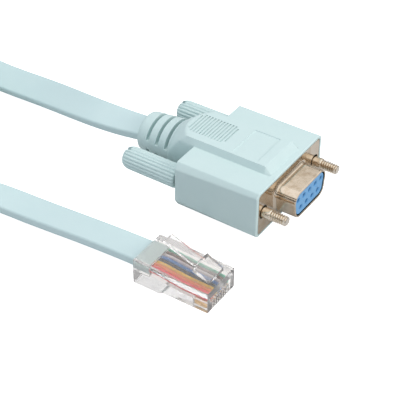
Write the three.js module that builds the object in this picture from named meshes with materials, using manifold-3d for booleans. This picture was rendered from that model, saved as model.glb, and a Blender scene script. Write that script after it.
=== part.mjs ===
// A console cable: a nine way D socket in a moulded hood with two thumbscrews,
// a flat eight core cable, and a clear eight way modular plug on its far end.
// Millimetres. +X points out of the D socket, +Z is up, +Y is the far side.
// The origin is under the middle of the hood and its screws, on the floor.
import * as THREE from 'three';
import { mergeVertices } from 'three/addons/utils/BufferGeometryUtils.js';
import Module from 'manifold-3d';

const wasm = await Module();
wasm.setup();

// Clearances
const GAP = 0.3;              // between pieces that touch on the real cable
const RUNNING_GAP = 0.4;      // round the turning screws
const PAST = 1;               // how far a cut runs past the surface, or a join past the seam

// The D socket
const SCREW_SPACING = 24.99;
const PIN_PITCH = 2.77;
const ROW_PITCH = 2.84;
const PINS_IN_LONG_ROW = 5;
const SHELL_BESIDE_PINS = 2.625;
const SHELL_ABOVE_PINS = 2.53;
const SHELL_WIDTH = (PINS_IN_LONG_ROW - 1) * PIN_PITCH + 2 * SHELL_BESIDE_PINS;
const SHELL_HEIGHT = ROW_PITCH + 2 * SHELL_ABOVE_PINS;
const SHELL_REACH = 6.1;      // in front of the flange
const SHELL_WALL = 0.5;
const SHELL_SLANT = 10 * Math.PI / 180;
const SHELL_CORNER = 2.6;
const FLANGE_EAR = 2.2;       // past the middle of a screw, as far as the hood shows it
const FLANGE_WIDTH = SCREW_SPACING + 2 * FLANGE_EAR;
const FLANGE_ABOVE_SHELL = 2.05;
const FLANGE_HEIGHT = SHELL_HEIGHT + 2 * FLANGE_ABOVE_SHELL;
const FLANGE_PLATE = 0.8;
const PIN_MOUTH = 1.3;        // hole in the insulator's face
const PIN_MOUTH_DEPTH = 1.2;
const SOCKET_DIAMETER = 1.5;
const SOCKET_BORE = 1;
const SOCKET_BORE_DEPTH = 5;
const SOCKET_LENGTH = 11;
const INSULATOR_SETBACK = 0.25;
const INSULATOR_DEPTH = 9.5;

// The moulded hood
const HOOD_RIM_SIDE = 1.1;    // plastic round the flange
const HOOD_RIM_TOP = 0.8;
const HOOD_LENGTH = 24.2;     // the wide part
const HOOD_WIDTH = FLANGE_WIDTH + 2 * HOOD_RIM_SIDE;
const HOOD_HEIGHT = FLANGE_HEIGHT + 2 * HOOD_RIM_TOP;
const CHAMFER_SIDE = 1.2;     // along the four long edges
const CHAMFER_REAR = 1.9;
const CHAMFER_FRONT = 0.9;
const PAD_RISE = 1.8;         // the raised pad above and below
const PAD_SLOPE = 0.8;
const PAD_FRONT = 1.5;        // bare strip in front of the pad
const NECK_WIDTH = 14.4;
const NECK_LENGTH = 8.4;
// How far along the neck, and how many times the strain relief's section it is there.
const NECK_SHOULDER = [[0, 1], [0.15, 1.2], [0.4, 1.45], [0.7, 1.7], [1, 2]];
const PANEL_LENGTH = 7.6;
const PANEL_WIDTH = 11;
const PANEL_DEPTH = 0.25;
const PANEL_FRONT = 6.1;      // from the flange's face to the panel
const RIB_COUNT = 13;
const RIB_PITCH = 0.9;
const RIB_GROOVE = 0.45;
const RIB_DEPTH = 0.25;
const RIB_WIDTH = 8;
const RIB_END_LESS = 0.8;     // the first and last grooves are shorter at each end
const RIB_FRONT = 17.4;       // from the flange's face to the first groove

// The slotted strain relief, one moulding with the hood
const RELIEF_LENGTH = 10.6;
const RELIEF_WIDTH = 13.4;    // at the neck
const RELIEF_HEIGHT = 12.4;
const RELIEF_REAR_WIDTH = 11.4;
const RELIEF_REAR_HEIGHT = 11;
// The rounded rear edge: distance from the end, and what the section's share loses there.
const RELIEF_EDGE = [[0, 0.1], [0.5, 0.03], [1.5, 0]];
const SLOT_COUNT = 3;
const SLOT_PITCH = 3.05;
const SLOT_WIDTH = 1;
const SLOT_FROM_REAR = 3.7;   // rear end to the middle of the first slot
const SLOT_BRIDGE = 2.4;      // web left between the upper and the lower slot
const CORE_WIDTH = 9.8;
const CORE_HEIGHT = 6.6;

// The thumbscrews
const SCREW_DIAMETER = 2.84;
const THREAD_PITCH = 0.635;
const THREAD_DEPTH = 0.36;
const THREAD_LENGTH = 4.6;
const SCREW_REACH = 6.9;      // in front of the flange
const SCREW_IN_KNOB = 6;
const SCREW_TIP_BEVEL = 0.2;
const KNOB_DIAMETER = 6.2;
const KNOB_LENGTH = 16.2;
const KNOB_STANDOFF = 0.9;    // between the knob and the ear
const KNOB_RIDGES = 20;
const KNOB_RIDGE_DEPTH = 0.25;
const KNOB_SLOT_WIDTH = 1.3;
const KNOB_SLOT_DEPTH = 1.6;
// Its rounded ends: distance from the end, and share of the full diameter.
const KNOB_REAR_EDGE = [[0, 0.66], [0.4, 0.84], [1.2, 0.96], [2.2, 1]];
const KNOB_FRONT_EDGE = [[0.5, 1], [0, 0.88]];

// The flat cable
const CABLE_WIDTH = 8.3;
const CABLE_THICKNESS = 2.5;
const CABLE_EDGE_FLAT = 1;    // height left flat on each rounded edge
const CABLE_EDGE_ROUND = 0.9; // how far in from the edge it rounds
const CABLE_LENGTH = 1430;    // hood to plug
const FREE_LENGTH = 180;      // of it, the two stretches outside the coil
const TURN_PITCH = 3;         // between the turns of one layer
const LAYER_PITCH = 8.6;      // between the two layers
const WHOLE_TURNS = 4;
const COIL_END_ANGLE = 320;   // where the last turn leaves, in degrees; the first one comes in at 90
const COIL_TURNS = WHOLE_TURNS + (COIL_END_ANGLE - 90) / 360;
const COIL_STRANDS = 3;       // side by side in each of the two layers
const COIL_CENTER = new THREE.Vector2(-107.2, -41);

// The modular plug
const PLUG_LENGTH = 21.46;
const PLUG_WIDTH = 11.68;
const PLUG_HEIGHT = 6.5;      // at the rear, above the heel
const PLUG_NOSE_DROP = 0.4;
const HEEL_DEPTH = 0.7;
const HEEL_LENGTH = 7.8;
const PLUG_NOSE_X = 22.3;
const PLUG_Y = -37.95;
const CONTACT_COUNT = 8;
const CONTACT_PITCH = 1.02;
const CONTACT_THICKNESS = 0.35;
const CONTACT_LENGTH = 3.6;
const CONTACT_HEIGHT = 2.3;
const CONTACT_SLOT = CONTACT_THICKNESS + 2 * 0.12;
const CONTACT_LIFT = 0.4;     // its lower edge, above the housing's underside
const CONTACT_CORNER = 0.4;
const CONTACT_SETBACK = 0.9;
const WIRE_DIAMETER = 0.8;
const WIRE_STRAIGHT = 2;      // out of the jacket, before the wires bend down
const WIRE_LOW = 3;           // straight again, behind the contacts
const JACKET_IN_PLUG = 4.2;
const LATCH_LENGTH = 13.6;
const LATCH_RISE = 5.2;
const LATCH_ROOT_WIDTH = 6.2;
const LATCH_TIP_WIDTH = 3.3;
const LATCH_SHOULDER = 4.6;
const LATCH_THICKNESS = 0.9;
const LATCH_STEP = 0.6;       // the shoulder stands this much above the lever
const LATCH_TIP_ROUND = 0.4;
const LATCH_ROOT_BACK = 1.5;  // behind the nose
const CAVITY_CLEARANCE = 0.35;

// Places that follow from the sizes
const AXIS_Z = HOOD_HEIGHT / 2 + PAD_RISE;
const OVERALL_LENGTH = SCREW_REACH + HOOD_LENGTH + NECK_LENGTH + RELIEF_LENGTH;
const FACE_X = OVERALL_LENGTH / 2 - SCREW_REACH;
const HOOD_REAR_X = FACE_X - HOOD_LENGTH;
const NECK_REAR_X = HOOD_REAR_X - NECK_LENGTH;
const RELIEF_REAR_X = NECK_REAR_X - RELIEF_LENGTH;
const PLUG_REAR_X = PLUG_NOSE_X - PLUG_LENGTH;
const PLUG_TOP_Z = HEEL_DEPTH + PLUG_HEIGHT;
const CABLE_IN_PLUG_Z = HEEL_DEPTH + 4;

// Colours
const HOOD_COLOR = '#cfe2e2';
const NICKEL = '#c8b9a2';
const BLUE = '#5f9bdc';
const GOLD = '#d8a848';
const CABLE_COLOR = '#c6dcde';
const CLEAR = '#dfe4e4';
// Red is nearest the viewer, green is farthest.
const WIRE_COLORS = [
  '#e0241f', '#ef7c1c', '#e3bf2c', '#1b1b1f', '#2348b8', '#e8dadd', '#5a3a2c', '#2fa585',
];

const part = new THREE.Group();

// Turns a closed three.js geometry into a solid that can be cut and joined.
function toSolid(geometry) {
  const bare = geometry.index ? geometry.toNonIndexed() : geometry.clone();
  bare.deleteAttribute('normal');
  bare.deleteAttribute('uv');
  const merged = mergeVertices(bare, 1e-4);
  const mesh = new wasm.Mesh({
    numProp: 3,
    vertProperties: Float32Array.from(merged.attributes.position.array),
    triVerts: Uint32Array.from(merged.index.array),
  });
  return new wasm.Manifold(mesh);
}

// Turns a solid back into a three.js geometry.
function toGeometry(solid) {
  const mesh = solid.getMesh();
  const geometry = new THREE.BufferGeometry();
  geometry.setAttribute('position', new THREE.BufferAttribute(mesh.vertProperties, 3));
  geometry.setIndex(new THREE.BufferAttribute(mesh.triVerts, 1));
  return geometry;
}

function addPiece(name, geometry, color, roughness, metalness = 0, options = {}) {
  const material = new THREE.MeshStandardMaterial({ color, roughness, metalness, ...options });
  const mesh = new THREE.Mesh(geometry, material);
  mesh.name = name;
  part.add(mesh);
  return mesh;
}

// A box from its lowest and highest corners.
function boxBetween(low, high) {
  const size = high.map((value, i) => value - low[i]);
  const box = new THREE.BoxGeometry(...size);
  box.translate(...low.map((value, i) => value + size[i] / 2));
  return toSolid(box);
}

// A round bar along X.
function barX(x0, x1, y, z, diameter, sides = 20) {
  const bar = new THREE.CylinderGeometry(diameter / 2, diameter / 2, x1 - x0, sides);
  bar.rotateZ(Math.PI / 2);
  bar.translate((x0 + x1) / 2, y, z);
  return bar;
}

// A section drawn in Y and Z, carried along X through stations that may scale it.
// Each station is { x, wide, high }.
function sweptX(shape, stations, y = 0, z = 0) {
  const steps = stations.length - 1;
  const swept = new THREE.ExtrudeGeometry(shape, { steps, depth: steps, bevelEnabled: false });
  const position = swept.attributes.position;
  for (let i = 0; i < position.count; i += 1) {
    const station = stations[Math.round(position.getZ(i))];
    const across = position.getX(i) * (station.wide ?? 1);
    const up = position.getY(i) * (station.high ?? 1);
    position.setXYZ(i, station.x, y + across, z + up);
  }
  return swept;
}

// A section drawn in Y and Z, with straight sides from x0 to x1.
function prismX(shape, x0, x1, y = 0, z = 0) {
  return sweptX(shape, [{ x: x0 }, { x: x1 }], y, z);
}

// A side view drawn in X and Z, made `width` thick and centred on y.
function slabY(shape, width, y) {
  const slab = new THREE.ExtrudeGeometry(shape, { depth: width, bevelEnabled: false });
  slab.rotateX(Math.PI / 2);
  slab.translate(0, y + width / 2, 0);
  return slab;
}

function polygon(points) {
  return new THREE.Shape(points.map(([x, y]) => new THREE.Vector2(x, y)));
}

function ellipse(width, height, sides) {
  const points = [];
  for (let i = 0; i < sides; i += 1) {
    const angle = 2 * Math.PI * (i + 0.5) / sides;
    points.push([width / 2 * Math.cos(angle), height / 2 * Math.sin(angle)]);
  }
  return polygon(points);
}

// The D outline, `inset` inside the shell's outer face, wide side up.
function dOutline(inset, segments = 5) {
  const height = SHELL_HEIGHT / 2 - inset;
  const lean = Math.tan(SHELL_SLANT);
  const middle = SHELL_WIDTH / 2 - inset / Math.cos(SHELL_SLANT) - lean * SHELL_HEIGHT / 2;
  const radius = SHELL_CORNER - inset;
  const points = [];
  const corner = (side, top) => {
    const turn = top > 0 ? Math.PI / 2 + SHELL_SLANT : Math.PI / 2 - SHELL_SLANT;
    const cz = top * (height - radius);
    const cy = side * (middle + lean * cz - radius / Math.cos(SHELL_SLANT));
    const normal = -SHELL_SLANT;
    const start = top > 0 ? normal : -Math.PI / 2;
    for (let i = 0; i <= segments; i += 1) {
      const angle = start + turn * i / segments;
      points.push([cy + side * radius * Math.cos(angle), cz + radius * Math.sin(angle)]);
    }
  };
  corner(1, -1);
  corner(1, 1);
  const right = points.slice();
  const left = right.map(([y, z]) => [-y, z]).reverse();
  return polygon(right.concat(left));
}

// Where the nine contacts stand: five above, four below.
function contactPlaces() {
  const places = [];
  for (const [count, row] of [[PINS_IN_LONG_ROW, 1], [PINS_IN_LONG_ROW - 1, -1]]) {
    for (let i = 0; i < count; i += 1) {
      places.push({ y: (i - (count - 1) / 2) * PIN_PITCH, z: AXIS_Z + row * ROW_PITCH / 2 });
    }
  }
  return places;
}

const SIDES = [['near', -1], ['far', 1]];

// The hood, with its pads, panel, ribs, strain relief and bores.
function buildHood() {
  const w = HOOD_WIDTH / 2;
  const h = HOOD_HEIGHT / 2;
  let hood = boxBetween([HOOD_REAR_X, -w, AXIS_Z - h], [FACE_X, w, AXIS_Z + h]);
  for (const side of [-1, 1]) {
    for (const up of [-1, 1]) {
      // A unit corner, a little outside the edge it takes off.
      const wedge = polygon([[-1.2, 0.2], [0.2, -1.2], [0.2, 0.2]].map(
        ([across, over]) => [side * across, up * over]));
      hood = hood.subtract(toSolid(sweptX(wedge, [
        { x: HOOD_REAR_X - PAST, wide: CHAMFER_SIDE, high: CHAMFER_REAR },
        { x: FACE_X + PAST, wide: CHAMFER_SIDE, high: CHAMFER_FRONT },
      ], side * w, AXIS_Z + up * h)));
    }
  }

  const n = NECK_WIDTH / 2;
  const pad = polygon([
    [-n, -h], [-n + PAD_SLOPE, -AXIS_Z], [n - PAD_SLOPE, -AXIS_Z], [n, -h],
    [n, h], [n - PAD_SLOPE, AXIS_Z], [-n + PAD_SLOPE, AXIS_Z], [-n, h],
  ]);
  const padFoot = FACE_X - PAD_FRONT;
  hood = hood.add(toSolid(sweptX(pad, [
    { x: HOOD_REAR_X }, { x: padFoot - PAD_SLOPE }, { x: padFoot, high: h / AXIS_Z },
  ], 0, AXIS_Z)));

  // The neck shrinks from the pads' section to the oval of the strain relief.
  const relief = ellipse(RELIEF_WIDTH, RELIEF_HEIGHT, 32);
  const neckLimit = toSolid(sweptX(relief, NECK_SHOULDER.map(([along, size]) => (
    { x: NECK_REAR_X + along * NECK_LENGTH, wide: size, high: size })), 0, AXIS_Z));
  const neck = toSolid(prismX(pad, NECK_REAR_X - PAST, HOOD_REAR_X + PAST, 0, AXIS_Z));
  hood = hood.add(neck.intersect(neckLimit));

  const rearWide = RELIEF_REAR_WIDTH / RELIEF_WIDTH;
  const rearHigh = RELIEF_REAR_HEIGHT / RELIEF_HEIGHT;
  const reliefStations = RELIEF_EDGE.map(([along, less]) => (
    { x: RELIEF_REAR_X + along, wide: rearWide - less, high: rearHigh - less }));
  reliefStations.push({ x: NECK_REAR_X + PAST });
  hood = hood.add(toSolid(sweptX(relief, reliefStations, 0, AXIS_Z)));

  const core = toSolid(prismX(
    ellipse(CORE_WIDTH, CORE_HEIGHT, 24), RELIEF_REAR_X - PAST, NECK_REAR_X + PAST, 0, AXIS_Z));
  for (let i = 0; i < SLOT_COUNT; i += 1) {
    const x = RELIEF_REAR_X + SLOT_FROM_REAR + i * SLOT_PITCH;
    for (const side of [-1, 1]) {
      const edge = side * SLOT_BRIDGE / 2;
      const reach = side * RELIEF_HEIGHT;
      const slot = boxBetween(
        [x - SLOT_WIDTH / 2, -RELIEF_WIDTH, AXIS_Z + Math.min(edge, reach)],
        [x + SLOT_WIDTH / 2, RELIEF_WIDTH, AXIS_Z + Math.max(edge, reach)]);
      hood = hood.subtract(slot.subtract(core));
    }
  }

  const top = AXIS_Z + AXIS_Z;
  hood = hood.subtract(boxBetween(
    [FACE_X - PANEL_FRONT - PANEL_LENGTH, -PANEL_WIDTH / 2, top - PANEL_DEPTH],
    [FACE_X - PANEL_FRONT, PANEL_WIDTH / 2, top + PAST]));
  for (let i = 0; i < RIB_COUNT; i += 1) {
    const x = FACE_X - RIB_FRONT - i * RIB_PITCH;
    const half = RIB_WIDTH / 2 - (i === 0 || i === RIB_COUNT - 1 ? RIB_END_LESS : 0);
    hood = hood.subtract(boxBetween(
      [x - RIB_GROOVE / 2, -half, top - RIB_DEPTH],
      [x + RIB_GROOVE / 2, half, top + PAST]));
  }

  hood = hood.subtract(boxBetween(
    [FACE_X - FLANGE_PLATE - GAP, -FLANGE_WIDTH / 2 - GAP, AXIS_Z - FLANGE_HEIGHT / 2 - GAP],
    [FACE_X + PAST, FLANGE_WIDTH / 2 + GAP, AXIS_Z + FLANGE_HEIGHT / 2 + GAP]));
  const insulatorRear = FACE_X + SHELL_REACH - INSULATOR_SETBACK - INSULATOR_DEPTH;
  hood = hood.subtract(toSolid(prismX(
    dOutline(SHELL_WALL - GAP), insulatorRear - GAP, FACE_X, 0, AXIS_Z)));
  const socketRear = FACE_X + SHELL_REACH - INSULATOR_SETBACK - PIN_MOUTH_DEPTH
    - GAP - SOCKET_LENGTH;
  for (const { y, z } of contactPlaces()) {
    hood = hood.subtract(toSolid(barX(
      socketRear - GAP, insulatorRear, y, z, SOCKET_DIAMETER + 2 * GAP, 12)));
  }
  for (const [, side] of SIDES) {
    hood = hood.subtract(toSolid(barX(
      HOOD_REAR_X - PAST, FACE_X, side * SCREW_SPACING / 2, AXIS_Z,
      SCREW_DIAMETER + 2 * RUNNING_GAP, 20)));
  }
  addPiece('hood', toGeometry(hood), HOOD_COLOR, 0.5);
}

// The plated shell and flange, pressed from one sheet.
function buildShell() {
  let shell = boxBetween(
    [FACE_X - FLANGE_PLATE, -FLANGE_WIDTH / 2, AXIS_Z - FLANGE_HEIGHT / 2],
    [FACE_X, FLANGE_WIDTH / 2, AXIS_Z + FLANGE_HEIGHT / 2]);
  const front = FACE_X + SHELL_REACH;
  shell = shell.add(toSolid(prismX(
    dOutline(0), FACE_X - FLANGE_PLATE / 2, front, 0, AXIS_Z)));
  shell = shell.subtract(toSolid(prismX(
    dOutline(SHELL_WALL), FACE_X - FLANGE_PLATE - PAST, front + PAST, 0, AXIS_Z)));
  for (const [, side] of SIDES) {
    shell = shell.subtract(toSolid(barX(
      FACE_X - FLANGE_PLATE - PAST, FACE_X + PAST, side * SCREW_SPACING / 2, AXIS_Z,
      SCREW_DIAMETER + 2 * RUNNING_GAP, 20)));
  }
  addPiece('d_shell', toGeometry(shell), NICKEL, 0.3, 0.9);
}

// The blue block with nine stepped holes, and the nine sprung sockets in it.
function buildInsulator() {
  const front = FACE_X + SHELL_REACH - INSULATOR_SETBACK;
  const rear = front - INSULATOR_DEPTH;
  let block = toSolid(prismX(dOutline(SHELL_WALL + GAP), rear, front, 0, AXIS_Z));
  contactPlaces().forEach(({ y, z }, index) => {
    block = block.subtract(toSolid(barX(rear - PAST, front + PAST, y, z, PIN_MOUTH, 12)));
    block = block.subtract(toSolid(barX(
      rear - PAST, front - PIN_MOUTH_DEPTH, y, z, SOCKET_DIAMETER + 2 * GAP, 12)));

    const socketFront = front - PIN_MOUTH_DEPTH - GAP;
    const r = SOCKET_DIAMETER / 2;
    const profile = [
      [0, 0], [r, 0], [r, SOCKET_LENGTH], [SOCKET_BORE / 2, SOCKET_LENGTH],
      [SOCKET_BORE / 2, SOCKET_LENGTH - SOCKET_BORE_DEPTH], [0, SOCKET_LENGTH - SOCKET_BORE_DEPTH],
    ].map(([x, along]) => new THREE.Vector2(x, along));
    const socket = new THREE.LatheGeometry(profile, 12);
    socket.rotateZ(-Math.PI / 2);
    socket.translate(socketFront - SOCKET_LENGTH, y, z);
    addPiece(`socket_contact_${index + 1}`, socket, GOLD, 0.35, 0.9);
  });
  addPiece('insulator', toGeometry(block), BLUE, 0.45);
}

// One thumbscrew: a ridged knob moulded on a plated screw.
function buildThumbscrew(name, side) {
  const y = side * SCREW_SPACING / 2;
  const knobFront = HOOD_REAR_X - KNOB_STANDOFF;
  const knobRear = knobFront - KNOB_LENGTH;

  const outer = KNOB_DIAMETER / 2;
  const ridged = [];
  for (let i = 0; i < 2 * KNOB_RIDGES; i += 1) {
    const radius = i % 2 ? outer - KNOB_RIDGE_DEPTH : outer;
    const angle = Math.PI * i / KNOB_RIDGES;
    ridged.push([radius * Math.cos(angle), radius * Math.sin(angle)]);
  }
  const stations = [
    ...KNOB_REAR_EDGE.map(([along, size]) => ({ x: knobRear + along, wide: size, high: size })),
    ...KNOB_FRONT_EDGE.map(([along, size]) => ({ x: knobFront - along, wide: size, high: size })),
  ];
  let knob = toSolid(sweptX(polygon(ridged), stations, y, AXIS_Z));
  knob = knob.subtract(boxBetween(
    [knobRear - PAST, y - KNOB_SLOT_WIDTH / 2, AXIS_Z - KNOB_DIAMETER],
    [knobRear + KNOB_SLOT_DEPTH, y + KNOB_SLOT_WIDTH / 2, AXIS_Z + KNOB_DIAMETER]));
  knob = knob.subtract(toSolid(barX(
    knobFront - SCREW_IN_KNOB - GAP, knobFront + PAST, y, AXIS_Z, SCREW_DIAMETER + 2 * GAP, 16)));
  addPiece(`${name}_knob`, toGeometry(knob), HOOD_COLOR, 0.5);

  const rear = knobFront - SCREW_IN_KNOB;
  const tip = FACE_X + SCREW_REACH;
  const crest = SCREW_DIAMETER / 2;
  const root = crest - THREAD_DEPTH;
  const profile = [[0, rear], [crest, rear]];
  const threads = Math.floor(THREAD_LENGTH / THREAD_PITCH);
  const threadStart = tip - threads * THREAD_PITCH;
  profile.push([crest, threadStart - THREAD_PITCH]);
  for (let i = 0; i < threads; i += 1) {
    const x = threadStart + i * THREAD_PITCH;
    profile.push([root, x - THREAD_PITCH / 2], [crest, x]);
  }
  profile.push([root, tip - THREAD_PITCH / 2], [root - SCREW_TIP_BEVEL, tip], [0, tip]);
  const lathe = new THREE.LatheGeometry(
    profile.map(([r, along]) => new THREE.Vector2(r, along)), 16);
  lathe.rotateZ(-Math.PI / 2);
  lathe.translate(0, y, AXIS_Z);
  addPiece(`${name}_screw`, lathe, NICKEL, 0.35, 0.9);
}

// The cable's section, flat with rounded edges, before it is turned by `twist`.
function cableSection() {
  const w = CABLE_WIDTH / 2;
  const t = CABLE_THICKNESS / 2;
  const inner = w - CABLE_EDGE_ROUND;
  const low = CABLE_EDGE_FLAT / 2;
  return polygon([
    [-w, -low], [-inner, -t], [inner, -t], [w, -low], [w, low], [inner, t], [-inner, t], [-w, low],
  ]);
}

// The flat cable along hand-set points [x, y, z, twist in degrees].
// At twist 0 the cable lies flat, at 90 it stands on edge. Its two ends are square to the
// level directions `from` and `to`.
function buildStretch(name, points, from, to) {
  const curve = new THREE.CatmullRomCurve3(
    points.map(([x, y, z]) => new THREE.Vector3(x, y, z)), false, 'centripetal');
  const steps = points.length - 1;
  const flat = new THREE.ExtrudeGeometry(cableSection(), {
    steps, depth: steps, bevelEnabled: false,
  });
  const position = flat.attributes.position;
  const up = new THREE.Vector3(0, 0, 1);
  for (let i = 0; i < position.count; i += 1) {
    const index = Math.round(position.getZ(i));
    const at = curve.getPoint(index / steps);
    const ends = { 0: from, [steps]: to };
    const forward = ends[index] ?? curve.getTangent(index / steps);
    const side = new THREE.Vector3().crossVectors(up, forward).normalize();
    const top = new THREE.Vector3().crossVectors(forward, side);
    const twist = points[index][3] * Math.PI / 180;
    const across = side.clone().multiplyScalar(Math.cos(twist)).addScaledVector(top, Math.sin(twist));
    const over = top.clone().multiplyScalar(Math.cos(twist)).addScaledVector(side, -Math.sin(twist));
    at.addScaledVector(across, position.getX(i)).addScaledVector(over, position.getY(i));
    position.setXYZ(i, at.x, at.y, at.z);
  }
  addPiece(name, flat, CABLE_COLOR, 0.45);
}

// Radii to the middle of the outermost turn, and of the cable as it meets the ring.
const COIL_MIDDLE = (CABLE_LENGTH - FREE_LENGTH) / (2 * Math.PI * COIL_TURNS);
const COIL_OUTER = COIL_MIDDLE + (COIL_STRANDS - 1) * TURN_PITCH / 2;
const COIL_LEAD = COIL_OUTER + CABLE_THICKNESS + GAP;
const EDGE_Z = CABLE_WIDTH / 2;
const AHEAD = new THREE.Vector3(1, 0, 0);
const BACK = new THREE.Vector3(-1, 0, 0);

// The way the cable goes as it leaves the last turn.
const OUT = BACK.clone().applyAxisAngle(new THREE.Vector3(0, 0, 1), (COIL_END_ANGLE - 90) * Math.PI / 180);

// From the strain relief towards the coil. The photograph shows it as far as x -84.
const HOOD_STRETCH = [
  [RELIEF_REAR_X - GAP, 0, AXIS_Z, 0],
  [RELIEF_REAR_X - 8, -0.4, AXIS_Z - 0.5, -8],
  [RELIEF_REAR_X - 16, -0.1, 7.4, -14],
  [RELIEF_REAR_X - 24, 1.25, 6.1, -18],
  [RELIEF_REAR_X - 32, 2.8, 4.7, -20],
  [RELIEF_REAR_X - 40, 3.95, 3.5, -20],
  [RELIEF_REAR_X - 48, 4.5, 2.7, -19],
  [-81, 4.7, 2.5, -18],
  [-85, 4.95, 2.65, -20],
  [-91, 7, 3.6, -48],
  [-97, 7.8, 4.25, -74],
  [-102.4, 7.9, 4.3, -87],
  [COIL_CENTER.x, COIL_CENTER.y + COIL_LEAD, EDGE_Z, -90],
];

// From the coil's upper layer down to the plug. The photograph shows it from x -44.
const PLUG_STRETCH = [
  [COIL_CENTER.x + COIL_LEAD * OUT.y, COIL_CENTER.y - COIL_LEAD * OUT.x, EDGE_Z + LAYER_PITCH, 90],
  [-65.2, -67.2, 11.9, 78],
  [-62.2, -63.2, 10.3, 66],
  [-59.5, -58.3, 8.1, 53],
  [-57.5, -52.6, 5.5, 41],
  [-56, -46.7, 3.6, 28],
  [-53.1, -41.4, 2.4, 14],
  [-49, -38.6, 1.9, 3],
  [-42, -37.5, 1.65, 2],
  [-35, -37.35, 1.9, 2],
  [-26, -37.5, 2.7, 1],
  [-17, -37.7, 3.6, 0],
  [-8, -37.85, 4.3, 0],
  [PLUG_REAR_X - 1, PLUG_Y, CABLE_IN_PLUG_Z, 0],
  [PLUG_REAR_X + JACKET_IN_PLUG, PLUG_Y, CABLE_IN_PLUG_Z, 0],
];

// The cable's turns, two layers on edge, as one ring of their outer shape.
function buildCoil() {
  const outer = COIL_OUTER + CABLE_THICKNESS / 2;
  const inner = COIL_OUTER - (COIL_STRANDS - 1) * TURN_PITCH - CABLE_THICKNESS / 2 - GAP;
  const top = LAYER_PITCH + CABLE_WIDTH;
  const ring = [
    [inner, 0], [outer, 0], [outer, top], [inner, top], [inner, 0],
  ].map(([r, z]) => new THREE.Vector2(r, z));
  const lathe = new THREE.LatheGeometry(ring, 48);
  lathe.rotateX(Math.PI / 2);
  lathe.translate(COIL_CENTER.x, COIL_CENTER.y, 0);
  addPiece('cable_coil', lathe, CABLE_COLOR, 0.45);
}

// The clear housing: a wedge sided block with a heel, a wire cavity and contact slots.
function plugSide() {
  return polygon([
    [PLUG_REAR_X, 0], [PLUG_REAR_X + HEEL_LENGTH, 0],
    [PLUG_REAR_X + HEEL_LENGTH + HEEL_DEPTH, HEEL_DEPTH], [PLUG_NOSE_X, HEEL_DEPTH],
    [PLUG_NOSE_X, PLUG_TOP_Z - PLUG_NOSE_DROP], [PLUG_REAR_X, PLUG_TOP_Z],
  ]);
}

function buildPlug() {
  let housing = toSolid(slabY(plugSide(), PLUG_WIDTH, PLUG_Y));
  const c = CAVITY_CLEARANCE;
  const jacketEnd = PLUG_REAR_X + JACKET_IN_PLUG;
  housing = housing.subtract(boxBetween(
    [PLUG_REAR_X - PAST, PLUG_Y - CABLE_WIDTH / 2 - c, CABLE_IN_PLUG_Z - CABLE_THICKNESS / 2 - c],
    [jacketEnd + GAP, PLUG_Y + CABLE_WIDTH / 2 + c, CABLE_IN_PLUG_Z + CABLE_THICKNESS / 2 + c]));

  const rowHalf = (CONTACT_COUNT - 1) / 2 * CONTACT_PITCH + WIRE_DIAMETER / 2 + c;
  const wireEnd = PLUG_NOSE_X - CONTACT_SETBACK;
  const wireLow = WIRE_Z - WIRE_DIAMETER / 2 - c;
  const wireHigh = CABLE_IN_PLUG_Z + WIRE_DIAMETER / 2 + c;
  const channel = polygon([
    [jacketEnd, wireHigh], [jacketEnd, CABLE_IN_PLUG_Z - WIRE_DIAMETER / 2 - c],
    [WIRE_BEND_X, wireLow], [wireEnd + GAP, wireLow],
    [wireEnd + GAP, WIRE_Z + WIRE_DIAMETER / 2 + c],
    [WIRE_BEND_X, WIRE_Z + WIRE_DIAMETER / 2 + c],
  ]);
  housing = housing.subtract(toSolid(slabY(channel, 2 * rowHalf, PLUG_Y)));

  for (let i = 0; i < CONTACT_COUNT; i += 1) {
    const y = PLUG_Y + (i - (CONTACT_COUNT - 1) / 2) * CONTACT_PITCH;
    housing = housing.subtract(boxBetween(
      [wireEnd - CONTACT_LENGTH - GAP, y - CONTACT_SLOT / 2, -PAST],
      [wireEnd + GAP, y + CONTACT_SLOT / 2, WIRE_Z]));
    housing = housing.subtract(boxBetween(
      [wireEnd, y - CONTACT_SLOT / 2, -PAST],
      [PLUG_NOSE_X + PAST, y + CONTACT_SLOT / 2, HEEL_DEPTH + CONTACT_HEIGHT]));
  }
  addPiece('plug_housing', toGeometry(housing), CLEAR, 0.1, 0, {
    transparent: true, opacity: 0.35,
  });
}

const WIRE_Z = HEEL_DEPTH + CONTACT_HEIGHT + GAP + WIRE_DIAMETER / 2;
const WIRE_BEND_X = PLUG_NOSE_X - CONTACT_SETBACK - CONTACT_LENGTH - WIRE_LOW;

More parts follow.
